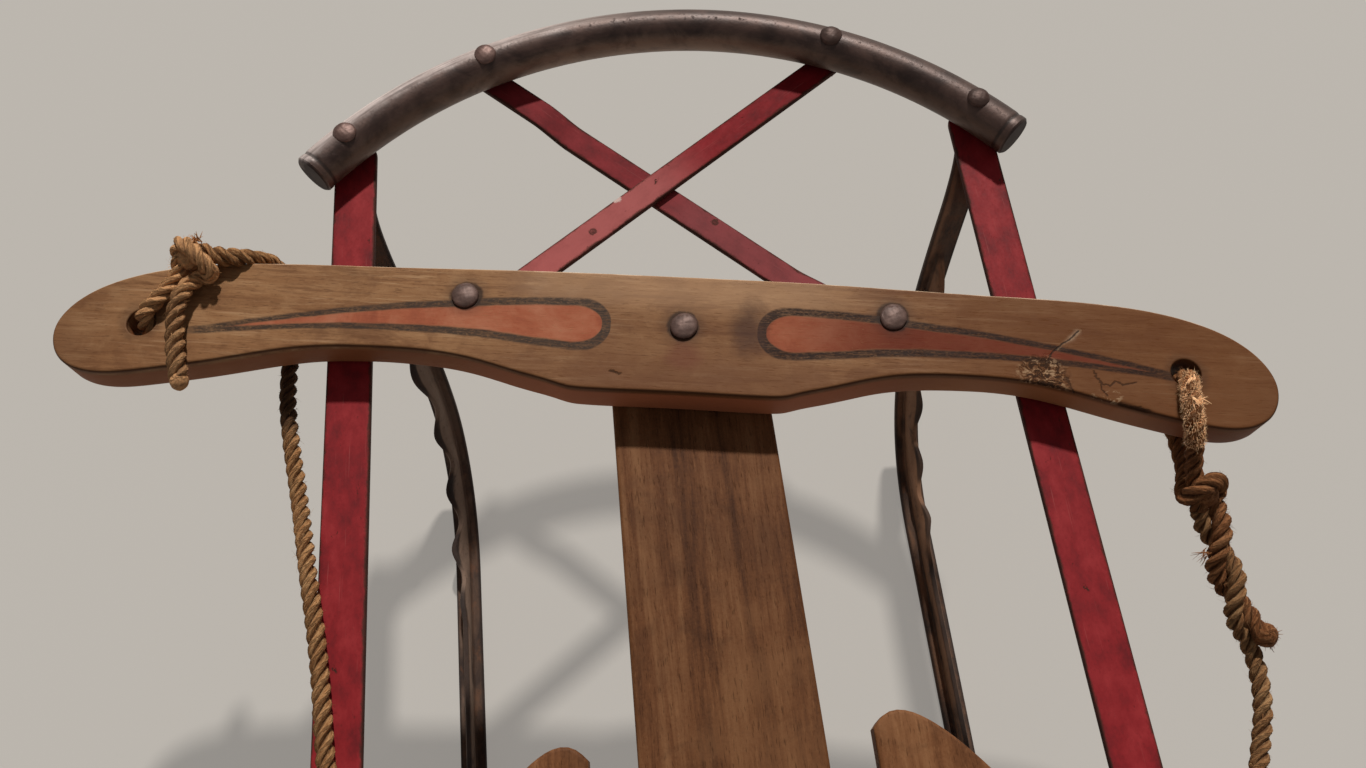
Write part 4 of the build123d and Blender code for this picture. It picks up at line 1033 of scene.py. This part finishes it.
# Runners: the T bar swept up, its web buckled into scallops where it was bent
for side, sign, lean, swing in (("left", -1, math.radians(66.0), 2.4), ("right", 1, math.radians(72.0), 1.4)):
    node = f"runner_{side}"
    tip = middle(f"bow_rivet_{side}_outer")
    seat_y = tip[1] - TIP_BACK
    seat_z = high(node)[2] - FLANGE_THICK
    rise = seat_z - (SWEEP_ARC + TIP_ARC) * (1 - math.cos(lean))
    start = seat_y - (SWEEP_ARC + TIP_ARC) * math.sin(lean) - rise / math.tan(lean)
    turn = np.linspace(0, lean, 40)
    sweep = np.stack([start + SWEEP_ARC * np.sin(turn), SWEEP_ARC * (1 - np.cos(turn))], 1)
    over = np.stack([seat_y - TIP_ARC * np.sin(turn[::-1]), seat_z - TIP_ARC * (1 - np.cos(turn[::-1]))], 1)
    side_line = np.vstack([[(low(node)[1], 0.0)], sweep, over, [(tip[1] + TIP_PAST, seat_z)]])
    side_line, reach = even(side_line, 2.4)
    y, z = side_line[:, 0], side_line[:, 1]

    drift = [(start + SWEEP_ARC * d, sign * (RUNNER_X + RUNNER_DRIFT * x)) for d, x in BAND]
    drift = [(start - 40, drift[0][1])] + drift + [(seat_y + TIP_BACK / 2, tip[0]), (tip[1] + 2 * TIP_PAST, tip[0])]
    plan = smooth_through(drift)
    x = np.interp(y, plan[:, 0], plan[:, 1])
    slope = unit(np.gradient(side_line, axis=0))
    up = np.stack([0 * y, -slope[:, 1], slope[:, 0]], 1)

    past = reach - np.interp(start, y, reach)
    web_end = SWEEP_ARC * lean + rise * WEB_REACH / math.sin(lean)
    web = np.clip((web_end - past) / WEB_FADE, 0, 1)
    curved = np.clip((past + WEB_FADE) / 30.0, 0, 1) * web
    wave = np.sin(past / 42.0 * 2 * math.pi + 1.3 * np.sin(past / 61.0) + 0.9 * sign)
    tall = WEB_HIGH * web * (1 + 0.10 * wave * curved) + 0.05
    lean_out = sign * curved * (WEB_BULGE + swing * wave)

    half, w, top = FLANGE_WIDE / 2, WEB_THICK / 2, FLANGE_THICK
    soft = 0.6
    foot = [(-half + soft, 0), (half - soft, 0), (half, soft), (half, top - soft), (half - soft, top),
            (w + 0.8, top), (w, top + FILLET)]
    blade = [(w, 0.5), (w, 0.93), (w - soft, 1.0), (-w + soft, 1.0), (-w, 0.93), (-w, 0.5)]
    back = [(-w, top + FILLET), (-w - 0.8, top), (-half + soft, top), (-half, top - soft), (-half, soft),
            (-half + soft, 0)]
    foot, back = ([(px + 0 * tall, pz + 0 * tall) for px, pz in part] for part in (foot, back))
    blade = [(px + lean_out * share ** 2, np.maximum(top + tall * share, top + 0.02)) for px, share in blade]
    across, above = (np.stack(column, 1) for column in zip(*foot, *blade, *back))
    for column in (len(foot) - 1, len(foot) + len(blade)):
        above[:, column] = np.minimum(above[:, column], top + FILLET * np.clip(tall / 2, 0, 1) + 0.01)

    line = np.stack([x, y, z], 1)
    points = line[:, None] + above[..., None] * up[:, None]
    points[..., 0] += across
    hub = line[[0, -1], None] + 0.8 * top * up[[0, -1], None] + 0 * points[[0, -1]]
    local = np.stack([np.broadcast_to(reach[:, None], across.shape), across, above], -1)
    block = np.concatenate([hub[:1], points, hub[1:]]), np.concatenate([local[:1], local, local[-1:]])
    runner = make_piece(f"{node}_bar", [block], runner_rust[side], None)
    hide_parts(node)
    (start + 10) * MM
    seat_y * MM
    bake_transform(runner)


# Deck: centre board, slats, side rails and benches


def board(node, outline, spine, material, slot, rows, edge=1.5, relief=None):
    """A board in the place of its solid, whose box gives its height and thickness."""
    foot, top = low(node)[2], high(node)[2]
    piece = slab(f"{node}_wood", outline, spine, foot, top - foot, edge, material, "sled", slot, rows, relief=relief)
    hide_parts(node)


front_right = high("centre_board")
outline, spine = boxed("centre_board", 12.0)
narrow = np.clip((outline[:, 1] - BOARD_TAPER) / (front_right[1] - BOARD_TAPER), 0, 1)
outline[:, 0] *= 1 - (1 - BOARD_NOSE / 2 / front_right[0]) * narrow
board("centre_board", outline, spine, board_wood, "deck_board", 10, relief=lambda x, y: 0.10 * ripple(x, y * 0.2, 9.0))
for side, sign in (("left", -1), ("right", 1)):
    a, b = low(f"slat_{side}"), high(f"slat_{side}")
    inner, outer = (a[0], b[0]) if sign > 0 else (b[0], a[0])
    nose = [(inner, b[1] - 4), (inner + sign * 4, b[1]), (inner + sign * 35, b[1] - 16), (outer, b[1] - 52)]
    tail = [(outer, a[1] + 20), (outer - sign * 8, a[1] + 6), (outer - sign * 23, a[1])]
    ring = np.vstack([smooth_through(nose, 10), smooth_through(tail, 8), [(inner, a[1]), nose[0]]])
    ring = even(ring[::-sign], 3.0)[0][:-1]
    spine = np.stack([0 * ring[:, 0] + (inner + outer) / 2, on_spine(ring[:, 1], a[1] + 30, b[1] - 45, 6.0)], 1)
    board(f"slat_{side}", ring, spine, deck_wood, "deck_wood", 8,
          relief=lambda x, y: 0.12 * ripple(x, y * 0.2, 9.0, 3.0))
    board(f"rail_{side}", *boxed(f"rail_{side}", 9.0), deck_wood, "deck_wood", 5)
for place in BENCHES:
    board(f"bench_{place}", *boxed(f"bench_{place}", 8.0), cross_wood, "deck_wood", 6, edge=1.8)

# Nails through the boards into each bench, and the rivets of the knees' feet, on the knee and behind the runner's web
studs("deck_nails", [(x, y, front_right[2]) for y in BENCHES.values() for x in BOARD_NAILS], (0, 0, 1), 2.3, 0.7)
rail_places = [(x, y + d) for y in BENCHES.values() if y != BENCHES["front"] for x in RAIL_NAILS for d in (-9.0, 9.0)]
studs("rail_nails", [(x, y, high("rail_left")[2]) for x, y in rail_places], (0, 0, 1), 2.0, 0.6)
leg = KNEE_FOOT - KNEE_LEG / 2
feet = [(y + d, FLANGE_THICK + 0.55 * WEB_HIGH) for y in BENCHES.values() for d in (-leg, leg)]
for side, sign in (("left", -1), ("right", 1)):
    for name, facing, x in (("knee", -sign, RUNNER_X - WEB_THICK / 2 - 3.0), ("web", sign, RUNNER_X + WEB_THICK / 2)):
        studs(f"{name}_rivets_{side}", [(sign * x, y, z) for y, z in feet], (facing, 0, 0), 3.0, 1.6)

# Knees keep their solids
for name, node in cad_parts.items():
    if name.startswith("knee"):
        node.data.materials.clear()
        node.data.materials.append(knee_paint)


# Rope


def spline_points(route):
    """The route's smooth line in millimetres: a quadratic NURBS with the route's points as its control points, read
    back as a fine polyline."""
    curve = bpy.data.curves.new("route", "CURVE")
    curve.dimensions = "3D"
    spline = curve.splines.new("NURBS")
    spline.points.add(len(route) - 1)
    for point, place in zip(spline.points, np.array(route) / 10000):
        point.co = (*place, 1.0)
    spline.order_u = 3
    spline.use_endpoint_u = True
    spline.resolution_u = 16
    holder = bpy.data.objects.new("route", curve)
    bpy.context.scene.collection.objects.link(holder)
    mesh = bpy.data.meshes.new_from_object(holder.evaluated_get(bpy.context.evaluated_depsgraph_get()))
    places = points_of(mesh, float) / MM
    bpy.data.objects.remove(holder)
    bpy.data.curves.remove(curve)
    bpy.data.meshes.remove(mesh)
    return places


def carried_frames(path):
    """Two directions square to the path at each station, carried along it without twist."""
    ahead = unit(np.gradient(path, axis=0))
    across = [unit(np.cross(ahead[0], (0.3, 0.2, 1.0)))]
    for direction in ahead[1:]:
        across.append(unit(across[-1] - direction * np.dot(across[-1], direction)))
    across = np.array(across)
    return ahead, across, np.cross(ahead, across)


def rope_blocks(path, girth):
    """Three strands laid round the path: each is a round section, carried on a helix of the rope's pitch. A strand's
    radius is just over a quarter of the rope's thickness, and its middle lies nearly as far out, so the strands press
    together. Girth gives the share of the thickness along the path, which is in millimetres."""
    sides = 10
    path, reach = even(path, 0.9)
    _, across, up = carried_frames(path)
    radius = ROPE_THICK / MM / 2 * girth(reach / reach[-1])
    turn = circle(sides)
    blocks = []
    for k in range(3):
        lay = 2 * math.pi * (reach / (ROPE_PITCH / MM) + k / 3)
        puff = 1 + 0.05 * ripple(reach, reach * 0 + k * 7.0, 3.1, k)[:, None]
        uneven = 0.07 * ripple(reach[:, None] * 1.3, np.sin(turn) * 1.6 + np.cos(turn) * 0.9, 0.75, 3.0 * k)
        strand = radius[:, None] * 0.53 * (puff + uneven)
        x = (radius * 0.49 * np.cos(lay))[:, None] + strand * np.cos(lay[:, None] + turn)
        y = (radius * 0.49 * np.sin(lay))[:, None] + strand * np.sin(lay[:, None] + turn)
        skin = path[:, None] + x[..., None] * across[:, None] + y[..., None] * up[:, None]
        ends = [np.repeat(end.mean(1, keepdims=True), sides + 1, 1) for end in (skin[:1], skin[-1:])]
        out = np.hypot(x, y) * (3.6 / np.maximum(radius[:, None], 0.1))
        round_ = np.broadcast_to(turn[None] * 1.7 + 37.0 * k, x.shape)
        local = np.stack([np.broadcast_to(reach[:, None], x.shape), round_, out], -1)
        blocks.append((np.concatenate([ends[0], skin, ends[1]]), np.concatenate([local[:1], local, local[-1:]])))
    return blocks, path


def hair_blocks(path, thick, count, seed, longest=2.0):
    """Loose fibres: thin bent threads that start on the rope's skin and lean away from it. A thread's middle line is
    its root plus the way out times its share, plus its lean times the share squared; its girth falls to the tip."""
    shortest = 0.35
    rng = np.random.default_rng(seed)
    ahead, across, up = carried_frames(path)
    at = rng.integers(2, len(path) - 2, count)
    turn = rng.uniform(0, 2 * math.pi, count)
    out = round_about(turn, across[at], up[at])
    lean = ahead[at] * rng.uniform(-2.2, 2.2, count)[:, None] + np.clip(rng.normal(0, 0.3, (count, 3)), -0.55, 0.55)
    long = (shortest + (longest - shortest) * rng.uniform(0, 1, count) ** 2.2)[:, None]
    root = path[at] + out * thick * 0.42
    t = np.linspace(0, 1, 4)
    line = root[:, None] + (out * long)[:, None] * t[:, None] + (lean * long)[:, None] * (t ** 2)[:, None] * 0.8
    girth = 0.10 * (1 - 0.75 * t)
    ring = round_about(circle(3), ahead[at][:, None, None], np.cross(out, ahead[at])[:, None, None])
    tube = line[:, :, None] + ring * girth[:, None, None]
    tint = np.stack([3.0 * np.arange(count), 2.0 + 0 * at, 4.2 + 0 * at], 1)
    return [(tube, tint[:, None, None] + 0 * tube)]


def rope_piece(name, route, girth, hairs, seed, fibre):
    """The strands of a route and their loose fibres in one mesh, and its path in millimetres."""
    blocks, path = rope_blocks(spline_points(route), girth)
    blocks += hair_blocks(path, ROPE_THICK / MM, int(hairs * len(path) / 100), seed)
    return make_piece(name, blocks, fibre, None), path


def tuft(at, toward, count, long, spread, seed):
    """Loose yarn ends: thin tapering threads from one place, fanned about a direction and bent over by their own
    weight. A thread's middle line is the way out times its share of the length, less a droop by the share squared."""
    rng = np.random.default_rng(seed)
    way = unit(unit(np.asarray(toward, float)) + rng.normal(0, spread, (count, 3)))
    size = long * rng.uniform(0.45, 1.0, count)[:, None]
    t = np.linspace(0, 1, 6)
    root = np.asarray(at, float) + rng.normal(0, 0.9, (count, 3))
    line = root[:, None] + (way * size)[:, None] * t[:, None]
    line[..., 2] -= 0.25 * size * t ** 2
    girth = rng.uniform(0.13, 0.34, count)[:, None] * (1 - 0.8 * t)
    side = unit(np.cross(way, (0.2, 0.9, 0.4)))
    ring = round_about(circle(4), side[:, None, None], np.cross(way, side)[:, None, None])
    tube = line[:, :, None] + girth[:, :, None, None] * ring
    ends = [np.broadcast_to(line[:, end, None], tube[:, end].shape) for end in (slice(0, 1), slice(-1, None))]
    tube = np.concatenate([ends[0], tube, ends[1]], 1)
    tint = np.stack([5.0 * np.arange(count), 3.0 + 0 * way[:, 0], 3.6 + 0 * way[:, 0]], 1)
    return [(tube, tint[:, None, None] + 0 * tube)]


def knob(at, radius, seed):
    """A cut end worn to a round brush: a ball whose radius is uneven, closed at both poles."""
    polar = np.linspace(0, math.pi, 17)[:, None]
    around = circle(24)[None]
    bumps = ripple(3.0 * np.cos(around) + 0 * polar, 3.0 * np.sin(around) + 2.0 * polar, 0.9, seed)
    size = radius * (1 + 0.10 * bumps * np.sin(polar))
    x, y, z = size * np.sin(polar) * np.cos(around), size * np.sin(polar) * np.sin(around), size * np.cos(polar)
    depth = 3.0 + 0.8 * ripple(around * 4, polar * 5, 0.7, seed)
    local = np.stack([polar * radius * 2 + 0 * around, around * 1.7 + 0 * polar, depth], -1)
    return [(np.stack([at[0] + x, at[1] + y, at[2] + z], -1), local)]


def tow_girth(share):
    """The tow rope is fuller where it leaves the knot on the bar."""
    return 1.0 + 0.15 * np.clip((0.020 - share) / 0.008, 0, 1)


def left_girth(share):
    """The tied rope swells a little towards its end, whose last millimetres round off."""
    return (1.0 + 0.10 * np.clip((share - 0.8) / 0.1, 0, 1)) * np.sqrt(np.clip((1.004 - share) / 0.012, 0, 1))


def right_girth(share):
    """The strand that comes out of the hole is frayed and thick, and thins where it goes into the knot."""
    return 1.0 + 0.10 * np.exp(-((share - 0.185) / 0.045) ** 2) + 0.07 * np.clip((share - 0.52) / 0.04, 0, 1)


rope, rope_path = rope_piece("tow_rope_strands", ROPE_ROUTE, tow_girth, 230, 1, tow_fibre)
rope_path = rope_path * MM
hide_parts("tow_rope")
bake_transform(rope)

# Knots: route, its girth and hairs, then knobs with their radius and seed, then tufts with their direction, count,
# length, spread and seed
KNOTS = {
    "left": (LEFT_KNOT_ROUTE, left_girth, 380, 11, pale_fibre,
             [((-204.5, -3.2, 194.0), 3.7, 1.0), ((-202.0, 50.5, 199.5), 5.0, 4.0)],
             [((-197.5, 56.0, 203.0), (-0.5, 0.6, 0.9), 40, 5.0, 0.5, 3),
              ((-204.3, -2.0, 193.6), (0.1, -1.0, -0.3), 22, 3.2, 0.45, 4)]),
    "right": (RIGHT_KNOT_ROUTE, right_girth, 700, 12, dark_fibre,
              [((212.3, -144.0, 163.0), 4.8, 2.0), ((198.0, -88.5, 176.5), 6.2, 3.0)],
              [((212.3, -144.0, 163.0), (0.7, -0.4, 0.3), 160, 6.6, 0.9, 5),
               ((194.5, -112.0, 172.0), (-0.9, -0.5, 0.1), 14, 6.5, 0.4, 8)]),
}
for side, (route, girth, hairs, seed, fibre, knobs, tufts) in KNOTS.items():
    tied, tied_path = rope_piece(f"rope_knot_{side}_strands", route, girth, hairs, seed, fibre)
    blocks = [block for knob_values in knobs for block in knob(*knob_values)]
    blocks += [block for tuft_values in tufts for block in tuft(*tuft_values)]
    loose = make_piece(f"rope_frays_{side}", blocks, fibre, None)
    knot = joined(f"rope_knot_{side}_strands", [tied, loose])
    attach(knot, "steering_bar")
    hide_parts(f"rope_knot_{side}")
from_hole = tied_path[(tied_path[:, 2] > 184.0) & (tied_path[:, 1] > -74.0) & (tied_path[:, 1] < -45.0)]
sleeve = (hair_blocks(from_hole, 7.8, 3400, 21, longest=1.4)
          + tuft((195.0, -58.0, 198.6), (0.2, -0.6, 0.5), 40, 6.0, 0.6, 6)
          + tuft((197.4, -47.0, 197.6), (-0.4, -0.8, 0.4), 30, 5.5, 0.5, 7))
make_piece("rope_frayed_yarns", sleeve, frayed_fibre, "steering_bar")

# Floor, light and camera


def ray(tree, kind):
    return add_node(tree, "ShaderNodeLightPath", {}, {}, f"Is {kind} Ray")


def mixed(tree, factor, first, second):
    return add_node(tree, "ShaderNodeMixShader", {}, {0: factor, 1: first, 2: second})


floor_material = bpy.data.materials.new("pale_floor")
floor_material.use_nodes = True
tree = floor_material.node_tree
floor_shader = tree.nodes["Principled BSDF"]
floor_shader.inputs["Base Color"].default_value = (*FLOOR_COLOUR, 1.0)
floor_shader.inputs["Roughness"].default_value = 0.85
glow = add_node(tree, "ShaderNodeEmission", {}, {"Color": BACKDROP, "Strength": 1.0})
seen = ray(tree, "Camera").most(ray(tree, "Glossy"))
lit = mixed(tree, seen * FLOOR_GLOW, Tone(tree, floor_shader.outputs[0]), glow)
tree.links.new(lit.socket, tree.nodes["Material Output"].inputs["Surface"])
bpy.ops.mesh.primitive_plane_add(size=12, location=(0, 0, -0.0005))
floor = bpy.context.object
floor.name = "floor"
floor.data.materials.append(floor_material)

world = bpy.data.worlds.new("soft_sky")
world.use_nodes = True
tree = world.node_tree
tree.nodes["Background"].inputs["Color"].default_value = (*SKY_COLOUR, 1.0)
tree.nodes["Background"].inputs["Strength"].default_value = SKY_STRENGTH
backdrop = add_node(tree, "ShaderNodeBackground", {}, {"Color": BACKDROP, "Strength": 1.0})
steel_sky = add_node(tree, "ShaderNodeBackground", {}, {"Color": STEEL_SKY_COLOUR, "Strength": SKY_IN_STEEL})
sky = mixed(tree, ray(tree, "Glossy"), Tone(tree, tree.nodes["Background"].outputs[0]), steel_sky)
sky = mixed(tree, ray(tree, "Camera"), sky, backdrop)
tree.links.new(sky.socket, tree.nodes["World Output"].inputs["Surface"])
bpy.context.scene.world = world

sun = bpy.data.objects.new("window_light", bpy.data.lights.new("window_light", "SUN"))
sun.data.energy = SUN_STRENGTH
sun.data.angle = math.radians(SUN_SOFT)
sun.data.color = SUN_COLOUR
sun.rotation_mode = "QUATERNION"
sun.rotation_quaternion = Vector(SUN_FROM).to_track_quat("Z", "Y")
bpy.context.scene.collection.objects.link(sun)

look = Vector(CAMERA_LOOK).normalized()
right = look.cross(Vector(CAMERA_UP)).normalized()
above = right.cross(look)
camera = bpy.data.objects.new("camera", bpy.data.cameras.new("camera"))
camera.matrix_world = Matrix.Translation(CAMERA_AT) @ Matrix((right, above, -look)).transposed().to_4x4()
camera.data.lens = CAMERA_LENS
camera.data.sensor_width = 36.0
camera.data.clip_start = 0.01
bpy.context.scene.collection.objects.link(camera)
bpy.context.scene.camera = camera
bpy.context.scene.view_settings.view_transform = "Standard"
